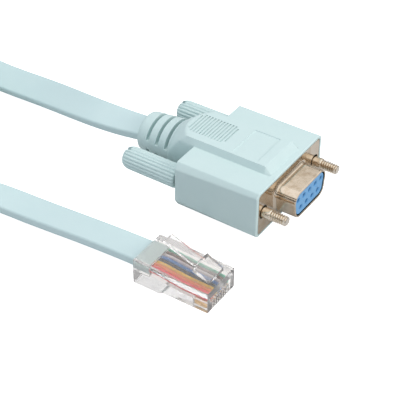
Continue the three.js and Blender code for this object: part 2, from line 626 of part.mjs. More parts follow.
// Eight blades in their slots, and the eight wires that they bite.
function buildContactsAndWires() {
  const front = PLUG_NOSE_X - CONTACT_SETBACK;
  const rear = front - CONTACT_LENGTH;
  const low = HEEL_DEPTH + CONTACT_LIFT;
  for (let i = 0; i < CONTACT_COUNT; i += 1) {
    const y = PLUG_Y + (i - (CONTACT_COUNT - 1) / 2) * CONTACT_PITCH;
    const blade = polygon([
      [rear, low + CONTACT_CORNER], [rear + CONTACT_CORNER, low], [front - CONTACT_CORNER, low],
      [front, low + CONTACT_CORNER], [front, HEEL_DEPTH + CONTACT_HEIGHT],
      [rear, HEEL_DEPTH + CONTACT_HEIGHT],
    ]);
    addPiece(`plug_contact_${i + 1}`, slabY(blade, CONTACT_THICKNESS, y), GOLD, 0.25, 0.9);

    const path = new THREE.CatmullRomCurve3([
      new THREE.Vector3(PLUG_REAR_X + JACKET_IN_PLUG + GAP, y, CABLE_IN_PLUG_Z),
      new THREE.Vector3(PLUG_REAR_X + JACKET_IN_PLUG + WIRE_STRAIGHT, y, CABLE_IN_PLUG_Z),
      new THREE.Vector3(WIRE_BEND_X, y, WIRE_Z),
      new THREE.Vector3(front, y, WIRE_Z),
    ], false, 'centripetal');
    const wire = new THREE.ExtrudeGeometry(ellipse(WIRE_DIAMETER, WIRE_DIAMETER, 8), {
      steps: 8, extrudePath: path, bevelEnabled: false,
    });
    addPiece(`wire_${i + 1}`, wire, WIRE_COLORS[i], 0.4);
  }
}

// The sprung lever over the housing, rising from its root at the nose.
function buildLatch() {
  const rootX = PLUG_NOSE_X - LATCH_ROOT_BACK;
  const rootZ = PLUG_TOP_Z - PLUG_NOSE_DROP + GAP;
  const tipX = rootX - LATCH_LENGTH;
  const tipZ = rootZ + LATCH_RISE;
  const shoulderX = rootX - LATCH_SHOULDER;
  const shoulderZ = rootZ + LATCH_RISE * LATCH_SHOULDER / LATCH_LENGTH;
  const t = LATCH_THICKNESS;
  const rootPart = polygon([
    [rootX, rootZ], [rootX, rootZ + t], [shoulderX, shoulderZ + t + LATCH_STEP],
    [shoulderX, shoulderZ],
  ]);
  const lever = polygon([
    [rootX - PAST, rootZ + GAP], [rootX - PAST, rootZ + t], [shoulderX, shoulderZ + t],
    [tipX, tipZ + t], [tipX - LATCH_TIP_ROUND, tipZ + t / 2], [tipX, tipZ],
    [shoulderX, shoulderZ],
  ]);
  const latch = toSolid(slabY(rootPart, LATCH_ROOT_WIDTH, PLUG_Y))
    .add(toSolid(slabY(lever, LATCH_TIP_WIDTH, PLUG_Y)));
  addPiece('plug_latch', toGeometry(latch), CLEAR, 0.1, 0, { transparent: true, opacity: 0.35 });
}

buildHood();
buildShell();
buildInsulator();
for (const [name, side] of SIDES) {
  buildThumbscrew(name, side);
}
buildStretch('cable_to_hood', HOOD_STRETCH, BACK, BACK);
buildCoil();
buildStretch('cable_to_plug', PLUG_STRETCH, OUT, AHEAD);
buildPlug();
buildContactsAndWires();
buildLatch();

export default part;
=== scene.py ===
# %% [markdown]
# # A console cable, built on its solid model
# The solid model gives every piece its real size and place, in metres. Each piece below is
# made where its solid lies and then stands for it, so nothing has to be fitted afterwards.

# %% Load the solid model
import math
import bmesh
import bpy
from mathutils import Matrix, Vector


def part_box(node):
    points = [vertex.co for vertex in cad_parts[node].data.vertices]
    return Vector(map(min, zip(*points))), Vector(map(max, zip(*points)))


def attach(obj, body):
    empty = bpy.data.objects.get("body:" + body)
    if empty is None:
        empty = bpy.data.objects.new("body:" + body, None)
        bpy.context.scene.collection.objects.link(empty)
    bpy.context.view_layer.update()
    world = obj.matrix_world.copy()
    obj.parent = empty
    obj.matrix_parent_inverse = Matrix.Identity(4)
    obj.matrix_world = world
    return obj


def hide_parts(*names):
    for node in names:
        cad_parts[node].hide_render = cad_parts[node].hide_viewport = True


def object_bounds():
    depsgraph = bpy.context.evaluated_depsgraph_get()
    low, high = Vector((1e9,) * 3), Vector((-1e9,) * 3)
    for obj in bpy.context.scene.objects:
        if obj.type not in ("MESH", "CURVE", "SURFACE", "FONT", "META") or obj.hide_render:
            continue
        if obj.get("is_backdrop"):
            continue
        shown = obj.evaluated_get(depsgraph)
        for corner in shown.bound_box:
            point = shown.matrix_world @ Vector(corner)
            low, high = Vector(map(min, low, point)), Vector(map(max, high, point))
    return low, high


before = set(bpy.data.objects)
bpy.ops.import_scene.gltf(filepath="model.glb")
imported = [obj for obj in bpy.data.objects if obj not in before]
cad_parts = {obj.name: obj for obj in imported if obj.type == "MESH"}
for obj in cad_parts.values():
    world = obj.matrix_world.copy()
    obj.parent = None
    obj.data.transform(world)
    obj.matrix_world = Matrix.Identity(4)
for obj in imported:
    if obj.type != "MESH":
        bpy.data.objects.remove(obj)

SOLID_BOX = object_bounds()
MM = 0.001
print("solid nodes:", len(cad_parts), "box in mm:", [round(v / MM, 1) for v in SOLID_BOX[1]])

# %% [markdown]
# ## The camera
# It looks down on the cable from the plug's side. The lens is long and the camera is near half
# a metre away, so the two connectors keep almost parallel edges. It comes first, with the
# cord, because the cord's coil has to lie outside what the camera sees.

# %% Place the camera
CAMERA_PLACE = Vector((159.35, -258.5, 238.3)) * MM
AZIMUTH = math.radians(33.01)
ELEVATION = math.radians(38.61)
ROLL = math.radians(0.56)

forward = Vector((
    -math.sin(AZIMUTH) * math.cos(ELEVATION),
    math.cos(AZIMUTH) * math.cos(ELEVATION),
    -math.sin(ELEVATION),
))
level = forward.cross(Vector((0, 0, 1))).normalized()
upright = level.cross(forward)
right = level * math.cos(ROLL) + upright * math.sin(ROLL)
above = right.cross(forward)

lens = bpy.data.cameras.new("camera")
lens.sensor_width = 36
lens.lens = 133.5
lens.clip_start, lens.clip_end = 0.01, 10
camera = bpy.data.objects.new("camera", lens)
bpy.context.scene.collection.objects.link(camera)
turn = Matrix((right, above, -forward)).transposed()
camera.matrix_world = Matrix.Translation(CAMERA_PLACE) @ turn.to_4x4()
bpy.context.scene.camera = camera
print("camera looks along", [round(v, 3) for v in forward])

# %% [markdown]
# ## The flat cable
# A flat cord of eight cores is 8.3 mm wide and 2.5 mm thick. It lies flat near both
# connectors and stands on edge in its coil. So its skin is laid over the route point by
# point, with the twist given at each. The route is the solid model's, in millimetres.

# %% The cable's route
CABLE_WIDTH = 8.3
CABLE_THICKNESS = 2.5
CABLE_CORNER = 0.6
CABLE_LENGTH = 1430
FREE_LENGTH = 180
GAP = 0.3
TURN_PITCH = 3
LAYER_PITCH = 8.6
WHOLE_TURNS = 4
COIL_START_ANGLE, COIL_END_ANGLE = 90, 320
COIL_TURNS = WHOLE_TURNS + (COIL_END_ANGLE - COIL_START_ANGLE) / 360
COIL_STRANDS = 3
COIL_X, COIL_Y = -107.2, -41
COIL_MIDDLE = (CABLE_LENGTH - FREE_LENGTH) / (2 * math.pi * COIL_TURNS)
COIL_OUTER = COIL_MIDDLE + (COIL_STRANDS - 1) * TURN_PITCH / 2
COIL_LEAD = COIL_OUTER + CABLE_THICKNESS + GAP
EDGE_Z = CABLE_WIDTH / 2
# Shares of a turn: to come in from the lead, and to climb from one layer to the other.
LEAD_TURNS = 0.25
CLIMB_TURNS = 0.5
POINTS_PER_TURN = 24

hood_low, hood_high = (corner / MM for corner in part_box("hood"))
plug_low, plug_high = (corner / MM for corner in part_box("plug_housing"))
RELIEF_REAR_X = hood_low.x
AXIS_Z = hood_high.z / 2
PLUG_Y = (plug_low.y + plug_high.y) / 2
PLUG_REAR_X = plug_low.x
JACKET_IN_PLUG = 4.2
CABLE_IN_PLUG_Z = 4.7

# Each point is x, y, z and the twist in degrees: 0 lies flat, 90 or -90 stands on edge.
HOOD_STRETCH = [
    (RELIEF_REAR_X - GAP, 0, AXIS_Z, 0),
    (RELIEF_REAR_X - 8, -0.4, AXIS_Z - 0.5, -8),
    (RELIEF_REAR_X - 16, -0.1, 7.4, -14),
    (RELIEF_REAR_X - 24, 1.25, 6.1, -18),
    (RELIEF_REAR_X - 32, 2.8, 4.7, -20),
    (RELIEF_REAR_X - 40, 3.95, 3.5, -20),
    (RELIEF_REAR_X - 48, 4.5, 2.7, -19),
    (-81, 4.7, 2.5, -18),
    (-85, 4.95, 2.65, -20),
    (-91, 7, 3.6, -48),
    (-97, 7.8, 4.25, -74),
    (-102.4, 7.9, 4.3, -87),
]
PLUG_STRETCH = [
    (-65.2, -67.2, 11.9, 78),
    (-62.2, -63.2, 10.3, 66),
    (-59.5, -58.3, 8.1, 53),
    (-57.5, -52.6, 5.5, 41),
    (-56, -46.7, 3.6, 28),
    (-53.1, -41.4, 2.4, 14),
    (-49, -38.6, 1.9, 3),
    (-42, -37.5, 1.65, 2),
    (-35, -37.35, 1.9, 2),
    (-26, -37.5, 2.7, 1),
    (-17, -37.7, 3.6, 0),
    (-8, -37.85, 4.3, 0),
    (PLUG_REAR_X - 1, PLUG_Y, CABLE_IN_PLUG_Z, 0),
    (PLUG_REAR_X + JACKET_IN_PLUG, PLUG_Y, CABLE_IN_PLUG_Z, 0),
]


def smooth(t):
    """Runs from 0 to 1 with a soft start and a soft end."""
    t = min(max(t, 0), 1)
    return t * t * (3 - 2 * t)


def coil_points():
    """The turns from above, against the clock: a lower layer inwards, an upper one outwards."""
    points = []
    half = COIL_TURNS / 2
    for i in range(round(COIL_TURNS * POINTS_PER_TURN) + 1):
        turns = i / POINTS_PER_TURN
        inward = min(turns, COIL_TURNS - turns)
        radius = COIL_OUTER - TURN_PITCH * max(inward - LEAD_TURNS, 0)
        radius += (COIL_LEAD - COIL_OUTER) * (1 - smooth(inward / LEAD_TURNS))
        climb = smooth((turns - half) / CLIMB_TURNS + 0.5)
        angle = math.radians(COIL_START_ANGLE) + 2 * math.pi * turns
        points.append((
            COIL_X + radius * math.cos(angle), COIL_Y + radius * math.sin(angle),
            EDGE_Z + LAYER_PITCH * climb, -90))
    return points


coil = coil_points()
print("coil:", len(coil), "points, middle radius", round(COIL_MIDDLE, 1), "mm")

# %% [markdown]
# A curve through the points gives evenly spaced stations. At each one the section is set
# square to the route and turned by the twist there. The twist counts down from 0 to -90 into
# the coil, and from -90 to -180 out of it, so the cable never flips over.

# %% Lay the skin over the route
FINE_STEPS = 16
STATION_SPACING = 1.6
MAP_PER_STATION = 0.01

plug_part = [(x, y, z, twist - 180) for x, y, z, twist in PLUG_STRETCH]
route = HOOD_STRETCH + coil + plug_part


def through(points, spacing):
    """Evenly spaced points of a smooth curve through the given ones, twist included."""
    fine = []
    for i in range(len(points) - 1):
        p0 = Vector(points[max(i - 1, 0)])
        p1, p2 = Vector(points[i]), Vector(points[i + 1])
        p3 = Vector(points[min(i + 2, len(points) - 1)])
        k0 = max((p1 - p0).xyz.length, 1e-6) ** 0.5
        k1 = max((p2 - p1).xyz.length, 1e-6) ** 0.5
        k2 = max((p3 - p2).xyz.length, 1e-6) ** 0.5
        m1 = (p2 - p1) + k1 * ((p1 - p0) / k0 - (p2 - p0) / (k0 + k1)) if i else p2 - p1
        last = i == len(points) - 2
        m2 = p2 - p1 if last else (p2 - p1) + k1 * ((p3 - p2) / k2 - (p3 - p1) / (k1 + k2))
        for step in range(FINE_STEPS):
            t = step / FINE_STEPS
            fine.append(
                (2 * t**3 - 3 * t**2 + 1) * p1 + (t**3 - 2 * t**2 + t) * m1
                + (3 * t**2 - 2 * t**3) * p2 + (t**3 - t**2) * m2)
    fine.append(Vector(points[-1]))
    even, walked, due = [fine[0]], 0.0, spacing
    for a, b in zip(fine, fine[1:]):
        length = (b.xyz - a.xyz).length
        while walked + length >= due:
            even.append(a.lerp(b, (due - walked) / length))
            due += spacing
        walked += length
    if (even[-1].xyz - fine[-1].xyz).length < spacing / 3:
        even.pop()
    even.append(fine[-1])
    return even


def flat_section(steps=4):
    """The cable's section: flat faces and flat edges, with small rounded corners."""
    half, thick, corner = CABLE_WIDTH / 2, CABLE_THICKNESS / 2, CABLE_CORNER
    outline = []
    for quarter, (side, over) in enumerate(((1, -1), (1, 1), (-1, 1), (-1, -1))):
        for i in range(steps + 1):
            angle = math.pi / 2 * (quarter - 1 + i / steps)
            outline.append((side * (half - corner) + corner * math.cos(angle),
                            over * (thick - corner) + corner * math.sin(angle)))
    return outline


def lay_skin(name, stations, section):
    """A closed skin of the section along the stations, with its own map: round and along."""
    rings = []
    for i, here in enumerate(stations):
        ahead = stations[min(i + 1, len(stations) - 1)].xyz - stations[max(i - 1, 0)].xyz
        ahead.normalize()
        side = Vector((0, 0, 1)).cross(ahead).normalized()
        top = ahead.cross(side)
        twist = math.radians(here.w)
        across = side * math.cos(twist) + top * math.sin(twist)
        over = top * math.cos(twist) - side * math.sin(twist)
        rings.append([(here.xyz + across * a + over * b) * MM for a, b in section])
    n = len(section)
    corners = [corner for ring in rings for corner in ring]
    faces = [
        (r * n + k, r * n + (k + 1) % n, (r + 1) * n + (k + 1) % n, (r + 1) * n + k)
        for r in range(len(rings) - 1) for k in range(n)]
    faces += [tuple(reversed(range(n))), tuple((len(rings) - 1) * n + k for k in range(n))]
    mesh = bpy.data.meshes.new(name)
    mesh.from_pydata(corners, [], faces)
    uv = mesh.uv_layers.new(name="along")
    for face in mesh.polygons:
        for loop, corner in zip(face.loop_indices, face.vertices):
            ring, k = divmod(corner, n)
            wrapped = 1 if k == 0 and (face.vertices[1] % n) == 0 else k / n
            uv.data[loop].uv = (wrapped, ring * MAP_PER_STATION)
        face.use_smooth = len(face.vertices) == 4
    piece = bpy.data.objects.new(name, mesh)
    bpy.context.scene.collection.objects.link(piece)
    return piece


stations = through(route, STATION_SPACING)
cable = lay_skin("cable", stations, flat_section())
length = sum((b.xyz - a.xyz).length for a, b in zip(stations, stations[1:]))
print("cable:", len(cable.data.polygons), "faces,", round(length), "mm long")

# %% [markdown]
# ## Tools for the moulded and pressed pieces
# Every other piece starts as one of Blender's primitives and is shaped by edit mode tools and
# modifiers. A block starts from a cube. A loft carries a filled circle through rings by
# extruding it again and again. Booleans cut and join, and bevels soften the edges.

# %% Helpers for modelling
HOOD_LENGTH = 24.2
SCREW_Y = 24.99 / 2
SCREW_HOLE = 3.64
SHELL_WIDTH, SHELL_HEIGHT, SHELL_DEPTH = 16.33, 7.9, 6.1
SHELL_CORNER = 2.6
SHELL_SLANT = math.radians(10)
FLANGE_HALF_WIDTH, FLANGE_HALF_HEIGHT = 29.39 / 2, 6
FACE_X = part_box("d_shell")[1].x / MM - SHELL_DEPTH
HOOD_REAR_X = FACE_X - HOOD_LENGTH


def clear_selection():
    """Back to object mode with nothing selected."""
    if bpy.context.object and bpy.context.object.mode != "OBJECT":
        bpy.ops.object.mode_set(mode="OBJECT")
    bpy.ops.object.select_all(action="DESELECT")


def use(piece):
    """Selects one piece and makes it the active one."""
    clear_selection()
    piece.select_set(True)
    bpy.context.view_layer.objects.active = piece


def block(name, low, high):
    """A cube primitive brought to its lowest and highest corners, in millimetres."""
    clear_selection()
    bpy.ops.mesh.primitive_cube_add(size=1)
    piece = bpy.context.object
    piece.name = piece.data.name = name
    piece.location = (Vector(low) + Vector(high)) / 2 * MM
    piece.scale = (Vector(high) - Vector(low)) * MM
    bpy.ops.object.transform_apply(location=True, rotation=True, scale=True)
    return piece


def loft(name, rings):
    """A filled circle primitive laid on the first ring, then extruded onto each next one."""
    clear_selection()
    bpy.ops.mesh.primitive_circle_add(vertices=len(rings[0]), radius=1, fill_type="NGON")
    piece = bpy.context.object
    piece.name = piece.data.name = name
    for corner, place in zip(piece.data.vertices, rings[0]):
        corner.co = Vector(place) * MM
    bpy.ops.object.mode_set(mode="EDIT")
    bpy.ops.mesh.select_all(action="SELECT")
    for before, after in zip(rings, rings[1:]):
        bpy.ops.mesh.extrude_region_move()
        net = bmesh.from_edit_mesh(piece.data)
        at = {tuple(round(v, 6) for v in Vector(p) * MM): Vector(q) * MM
              for p, q in zip(before, after)}
        for corner in net.verts:
            if corner.select:
                corner.co = at[tuple(round(v, 6) for v in corner.co)]
        bmesh.update_edit_mesh(piece.data)
    bpy.ops.mesh.select_all(action="SELECT")
    bpy.ops.mesh.normals_make_consistent(inside=False)
    bpy.ops.object.mode_set(mode="OBJECT")
    return piece


def change(piece, kind, **settings):
    """Adds one modifier, sets it and applies it."""
    use(piece)
    modifier = piece.modifiers.new(kind.lower(), kind)
    for key, value in settings.items():
        setattr(modifier, key, value)
    bpy.ops.object.modifier_apply(modifier=modifier.name)
    return piece


def combine(piece, tool, operation):
    """Cuts or joins two closed pieces. The tool is used up."""
    change(piece, "BOOLEAN", operation=operation, object=tool, solver="EXACT")
    bpy.data.objects.remove(tool)
    return piece


def cut(piece, *tools):
    """Takes each tool out of the piece."""
    for tool in tools:
        combine(piece, tool, "DIFFERENCE")
    return piece


def together(name, pieces):
    """Several closed pieces that don't touch, as one object."""
    use(pieces[0])
    for piece in pieces:
        piece.select_set(True)
    bpy.ops.object.join()
    bpy.context.object.name = name
    return bpy.context.object


def soften(piece, width, segments=2, angle=30):
    """Rounds the edges that are sharper than the angle."""
    return change(piece, "BEVEL", width=width * MM, segments=segments, limit_method="ANGLE",
                  angle_limit=math.radians(angle))


def bevel_along_x(piece, width, segments):
    """Bevels the four edges of a block that run along X."""
    use(piece)
    bpy.ops.object.mode_set(mode="EDIT")
    bpy.ops.mesh.select_mode(type="EDGE")
    bpy.ops.mesh.select_all(action="DESELECT")
    net = bmesh.from_edit_mesh(piece.data)
    for edge in net.edges:
        edge.select_set(abs(edge.verts[1].co.x - edge.verts[0].co.x) > 0.1 * MM)
    net.select_flush_mode()
    bmesh.update_edit_mesh(piece.data)
    bpy.ops.mesh.bevel(offset=width * MM, segments=segments)
    bpy.ops.object.mode_set(mode="OBJECT")


def finish_smooth(piece, angle=35):
    """Smooth shading up to the angle, with the large faces kept flat."""
    use(piece)
    bpy.ops.object.shade_smooth_by_angle(angle=math.radians(angle))
    return change(piece, "WEIGHTED_NORMAL", keep_sharp=True)


def bar(x0, x1, y, z, diameter, sides=32, end=None):
    """A round bar along X, or a cone if its end has another diameter."""
    radii = [(x0, diameter / 2), (x1, (end or diameter) / 2)]
    return loft("bar", [[
        (x, y + r * math.cos(2 * math.pi * k / sides), z + r * math.sin(2 * math.pi * k / sides))
        for k in range(sides)] for x, r in radii])


def oval(width, height, sides):
    """An ellipse in Y and Z about its middle."""
    return [(width / 2 * math.cos(2 * math.pi * k / sides),
             height / 2 * math.sin(2 * math.pi * k / sides)) for k in range(sides)]


def ring_at(x, outline, y=0.0, z=0.0):
    """An outline in Y and Z, set at one place along X."""
    return [(x, y + a, z + b) for a, b in outline]


def d_outline(inset, segments=8):
    """The D shape, wide side up, this far inside the shell's outer face."""
    height = SHELL_HEIGHT / 2 - inset
    lean = math.tan(SHELL_SLANT)
    middle = SHELL_WIDTH / 2 - inset / math.cos(SHELL_SLANT) - lean * SHELL_HEIGHT / 2
    radius = SHELL_CORNER - inset
    half = []
    for top in (-1, 1):
        sweep = math.pi / 2 + top * SHELL_SLANT
        cz = top * (height - radius)
        cy = middle + lean * cz - radius / math.cos(SHELL_SLANT)
        start = -SHELL_SLANT if top > 0 else -math.pi / 2
        for i in range(segments + 1):
            angle = start + sweep * i / segments
            half.append((cy + radius * math.cos(angle), cz + radius * math.sin(angle)))
    return half + [(-a, b) for a, b in reversed(half)]


print("the hood runs from x", round(RELIEF_REAR_X, 2), "to", round(FACE_X, 2))

# %% [markdown]
# ## The moulded hood
# The wide part is a block whose four long edges are chamfered, more at the rear than at the
# front, which lies at positive X. One bevel gives them an even width, and their lines on the
# sides are then moved to their true heights. A small second bevel rounds what a mould rounds.

# %% The hood's wide part
HOOD_HALF = 31.59 / 2
HOOD_HALF_HEIGHT = 13.6 / 2
CHAMFER_SIDE, CHAMFER_REAR, CHAMFER_FRONT = 1.2, 1.9, 0.9
HOOD_ROUNDING = 0.3
hood = block("hood_moulding", (HOOD_REAR_X, -HOOD_HALF, AXIS_Z - HOOD_HALF_HEIGHT),
             (FACE_X, HOOD_HALF, AXIS_Z + HOOD_HALF_HEIGHT))
bevel_along_x(hood, CHAMFER_SIDE, 1)
for corner in hood.data.vertices:
    if abs(abs(corner.co.y) - HOOD_HALF * MM) < 1e-6:
        drop = CHAMFER_FRONT if corner.co.x > 0 else CHAMFER_REAR
        side = 1 if corner.co.z > AXIS_Z * MM else -1
        corner.co.z = (AXIS_Z + side * (HOOD_HALF_HEIGHT - drop)) * MM
soften(hood, HOOD_ROUNDING, 3, 20)
print("wide part:", len(hood.data.polygons), "faces")

# %% [markdown]
# The raised pads, the neck and the strain relief are one run of rings from the rear end to the
# pads' front slope. Each ring is an oval at the relief, the pads' outline at the front, and
# the smaller of the two, softly blended, along the neck where one turns into the other.

# %% Pads, neck and strain relief
PAD_HALF = 14.4 / 2
PAD_SLOPE = 0.8
PAD_SETBACK = 1.5
PAD_FOOT_X = FACE_X - PAD_SETBACK
NECK_LENGTH = 8.4
NECK_REAR_X = HOOD_REAR_X - NECK_LENGTH
NECK_SIDES, NECK_STEPS = 120, 28
NECK_BLEND = 0.2
RELIEF_HALF_WIDE, RELIEF_HALF_HIGH = 13.4 / 2, 12.4 / 2
RELIEF_REAR_SIZE = 11.4 / 13.4
# The rounded rear end: how far along, and how much smaller it is there.
RELIEF_END = [(0, 0.12), (0.12, 0.07), (0.35, 0.035), (0.7, 0.015), (1.2, 0)]
# The oval's size along the neck, from the relief to the pads.
SHOULDER = [(0, 1), (0.15, 1.2), (0.4, 1.45), (0.7, 1.7), (1, 2)]
# The pads' front slope: how far behind its foot, and how high.
PAD_NOSE = [(2.3, AXIS_Z), (2.0, AXIS_Z - 0.05), (1.75, AXIS_Z - 0.2),
            (0, HOOD_HALF_HEIGHT - 0.1)]


def between(table, at):
    """A table of places and values, read at one place."""
    for (a, b), (c, d) in zip(table, table[1:]):
        if at <= c:
            return b + (d - b) * max(at - a, 0) / (c - a)
    return table[-1][1]


def pad_radius(angle):
    """From the middle to the pads' outline: flat top, sloped shoulders, upright sides."""
    c, s = abs(math.cos(angle)), abs(math.sin(angle))
    flat = AXIS_Z / max(s, 1e-6)
    upright = PAD_HALF / max(c, 1e-6)
    rise = AXIS_Z - HOOD_HALF_HEIGHT
    slope = (PAD_HALF * rise + HOOD_HALF_HEIGHT * PAD_SLOPE) / (c * rise + s * PAD_SLOPE)
    return min(flat, upright, slope)


def oval_radius(angle, size):
    """From the middle to the relief's oval, taken this many times its size."""
    c, s = math.cos(angle) / RELIEF_HALF_WIDE, math.sin(angle) / RELIEF_HALF_HIGH
    return size / math.hypot(c, s)


def softer_min(a, b, soft):
    """The smaller of two values, with a soft change from one to the other."""
    gap = max(soft - abs(a - b), 0) / soft
    return min(a, b) - gap * gap * soft / 4


def polar(radius, angle):
    """A point in Y and Z, from its distance and direction."""
    return radius * math.cos(angle), radius * math.sin(angle)


corner_angles = [math.atan2(AXIS_Z, PAD_HALF - PAD_SLOPE),
                 math.atan2(HOOD_HALF_HEIGHT, PAD_HALF)]
angles = [2 * math.pi * k / NECK_SIDES for k in range(NECK_SIDES)]
for corner in corner_angles:
    for whole in (corner, math.pi - corner, math.pi + corner, 2 * math.pi - corner):
        nearest = min(range(NECK_SIDES), key=lambda k: abs(angles[k] - whole))
        angles[nearest] = whole

sizes = [(RELIEF_REAR_X + away, RELIEF_REAR_SIZE - less) for away, less in RELIEF_END]
sizes.append((NECK_REAR_X - 0.6, 0.985))
rings = [(x, [polar(oval_radius(a, size), a) for a in angles]) for x, size in sizes]
for step in range(NECK_STEPS + 1):
    along = step / NECK_STEPS
    size = between(SHOULDER, along)
    rings.append((NECK_REAR_X + along * NECK_LENGTH, [
        polar(softer_min(pad_radius(a), oval_radius(a, size), NECK_BLEND), a) for a in angles]))
pad_outline = [polar(pad_radius(a), a) for a in angles]
for behind, high in PAD_NOSE:
    rings.append((PAD_FOOT_X - behind, [(y, max(-high, min(high, z))) for y, z in pad_outline]))
rear = loft("neck", [ring_at(x, outline, 0, AXIS_Z) for x, outline in rings])
print("neck and relief:", len(rings), "rings")

# %% [markdown]
# Three slots go in from the top and three from below, so that the relief can bend. A tube
# shaped core stays whole inside. Each cutter is a slab with that core taken out of it.

# %% Slots, then one solid
SLOT_FIRST, SLOT_PITCH, SLOT_HALF = 3.7, 3.05, 0.5
BRIDGE_HALF = 1.2
SLAB_REACH = 9
RELIEF_CORE_WIDTH, RELIEF_CORE_HEIGHT = 9.8, 6.6
slabs = []
for i in range(3):
    x = RELIEF_REAR_X + SLOT_FIRST + SLOT_PITCH * i
    for side in (-1, 1):
        low, high = sorted((side * BRIDGE_HALF, side * SLAB_REACH))
        slabs.append(block("slab", (x - SLOT_HALF, -SLAB_REACH, AXIS_Z + low),
                           (x + SLOT_HALF, SLAB_REACH, AXIS_Z + high)))
slab_set = soften(together("slabs", slabs), 0.1, 2)
core_oval = oval(RELIEF_CORE_WIDTH, RELIEF_CORE_HEIGHT, 48)
kept_core = loft("core", [ring_at(x, core_oval, 0, AXIS_Z)
                          for x in (RELIEF_REAR_X - 1, NECK_REAR_X + 1)])
cut(slab_set, kept_core)
cut(rear, slab_set)
combine(hood, rear, "UNION")
print("hood joined:", len(hood.data.polygons), "faces")

# %% [markdown]
# The panel and the thirteen grip grooves are shallow cuts in the upper pad. The flange seat,
# the D shaped pocket and the bores take the metal parts with a little clearance.

# %% Panel, grip grooves and seats
PAD_TOP = 2 * AXIS_Z
ENGRAVING = 0.25
PANEL_REAR, PANEL_FRONT, PANEL_HALF = 13.7, 6.1, 5.5
GROOVES, GROOVE_FIRST, GROOVE_PITCH = 13, 17.4, 0.9
GROOVE_HALF_WIDTH, GROOVE_HALF_LENGTH = 0.225, 4
END_GROOVE_SHORTER = 0.8
SEAT_DEPTH, SEAT_ROOM, SEAT_CORNER = 1.1, 0.15, 0.9
POCKET_INSET, POCKET_FLOOR_X = 0.2, 14.2
CONTACT_BORE, CONTACT_BORE_FLOOR_X = 2.1, 11.2
PIN_PITCH, PIN_ROW = 2.77, 1.42
PIN_PLACES = [((i - (count - 1) / 2) * PIN_PITCH, AXIS_Z + row * PIN_ROW)
              for count, row in ((5, 1), (4, -1)) for i in range(count)]

panel = block("panel", (FACE_X - PANEL_REAR, -PANEL_HALF, PAD_TOP - ENGRAVING),
              (FACE_X - PANEL_FRONT, PANEL_HALF, PAD_TOP + 1))
soften(panel, 0.35, 3)
grooves = []
for i in range(GROOVES):
    x = FACE_X - GROOVE_FIRST - GROOVE_PITCH * i
    half = GROOVE_HALF_LENGTH - (END_GROOVE_SHORTER if i in (0, GROOVES - 1) else 0)
    grooves.append(block("groove", (x - GROOVE_HALF_WIDTH, -half, PAD_TOP - ENGRAVING),
                         (x + GROOVE_HALF_WIDTH, half, PAD_TOP + 1)))
seat_y, seat_z = FLANGE_HALF_WIDTH + SEAT_ROOM, FLANGE_HALF_HEIGHT + SEAT_ROOM
seat = block("seat", (FACE_X - SEAT_DEPTH, -seat_y, AXIS_Z - seat_z),
             (FACE_X + 1, seat_y, AXIS_Z + seat_z))
soften(seat, SEAT_CORNER, 4)
pocket = loft("pocket", [ring_at(x, d_outline(POCKET_INSET), 0, AXIS_Z)
                         for x in (POCKET_FLOOR_X, FACE_X)])
bores = [bar(HOOD_REAR_X - 1, FACE_X, side * SCREW_Y, AXIS_Z, SCREW_HOLE) for side in (-1, 1)]
sockets = [bar(CONTACT_BORE_FLOOR_X, POCKET_FLOOR_X + 0.3, y, z, CONTACT_BORE, 16)
           for y, z in PIN_PLACES]
cut(hood, panel, together("grooves", grooves), seat, pocket, together("bores", bores),
    together("sockets", sockets))
finish_smooth(hood, 28)
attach(hood, "cable")
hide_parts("hood")
print("hood:", len(hood.data.polygons), "faces")

# %% [markdown]
# ## The two thumbscrews
# A knob is a round outline with twenty soft ridges, carried through a few rings that round
# its ends, with a driver slot across the rear. Its screw is a run of thin rings whose radius
# follows a helix, which makes a real thread with no extra tool.

# %% Knobs and screws
KNOB_RADIUS, KNOB_LENGTH, KNOB_SIDES = 3.1, 16.2, 160
RIDGES, RIDGE_DEPTH = 20, 0.28
KNOB_FRONT_X = HOOD_REAR_X - 0.9
KNOB_REAR_X = KNOB_FRONT_X - KNOB_LENGTH
SCREW_TIP_X = FACE_X + 6.9
SCREW_RADIUS, SCREW_SIDES = 1.42, 28
SCREW_BORE = 3.44
THREAD_PITCH, THREAD_DEPTH, THREAD_LENGTH, THREAD_RINGS = 0.635, 0.4, 4.6, 64
TIP_LENGTH, TIP_SLOPE = 0.35, 1.1
DRIVER_SLOT_HALF, DRIVER_SLOT_DEPTH = 0.65, 1.6
# The knob's ends: how far from the end, and its share of the full radius there.
KNOB_REAR_END = [(0, 0.62), (0.08, 0.7), (0.3, 0.8), (0.7, 0.89), (1.2, 0.95), (1.8, 0.985),
                 (2.4, 1)]
KNOB_FRONT_END = [(0.5, 1), (0.2, 0.97), (0, 0.9)]


def ridged(size, depth):
    """The knob's outline: broad ridges with narrow furrows between them."""
    outline = []
    for k in range(KNOB_SIDES):
        angle = 2 * math.pi * k / KNOB_SIDES
        wave = 0.5 - 0.5 * math.cos(RIDGES * angle)
        outline.append(polar(KNOB_RADIUS * size - depth * wave ** 3, angle))
    return outline


def thread_radius(x, angle):
    """Full at the neck, then a V groove that winds on by one pitch a turn, then a tapered tip."""
    start = SCREW_TIP_X - THREAD_LENGTH
    depth = THREAD_DEPTH * smooth((x - start) / 0.4)
    phase = ((x - start) / THREAD_PITCH - angle / (2 * math.pi)) % 1
    groove = min(1, 1.8 * (1 - abs(2 * phase - 1)))
    taper = max(0, x - (SCREW_TIP_X - TIP_LENGTH)) * TIP_SLOPE
    return SCREW_RADIUS - max(depth * groove, taper)


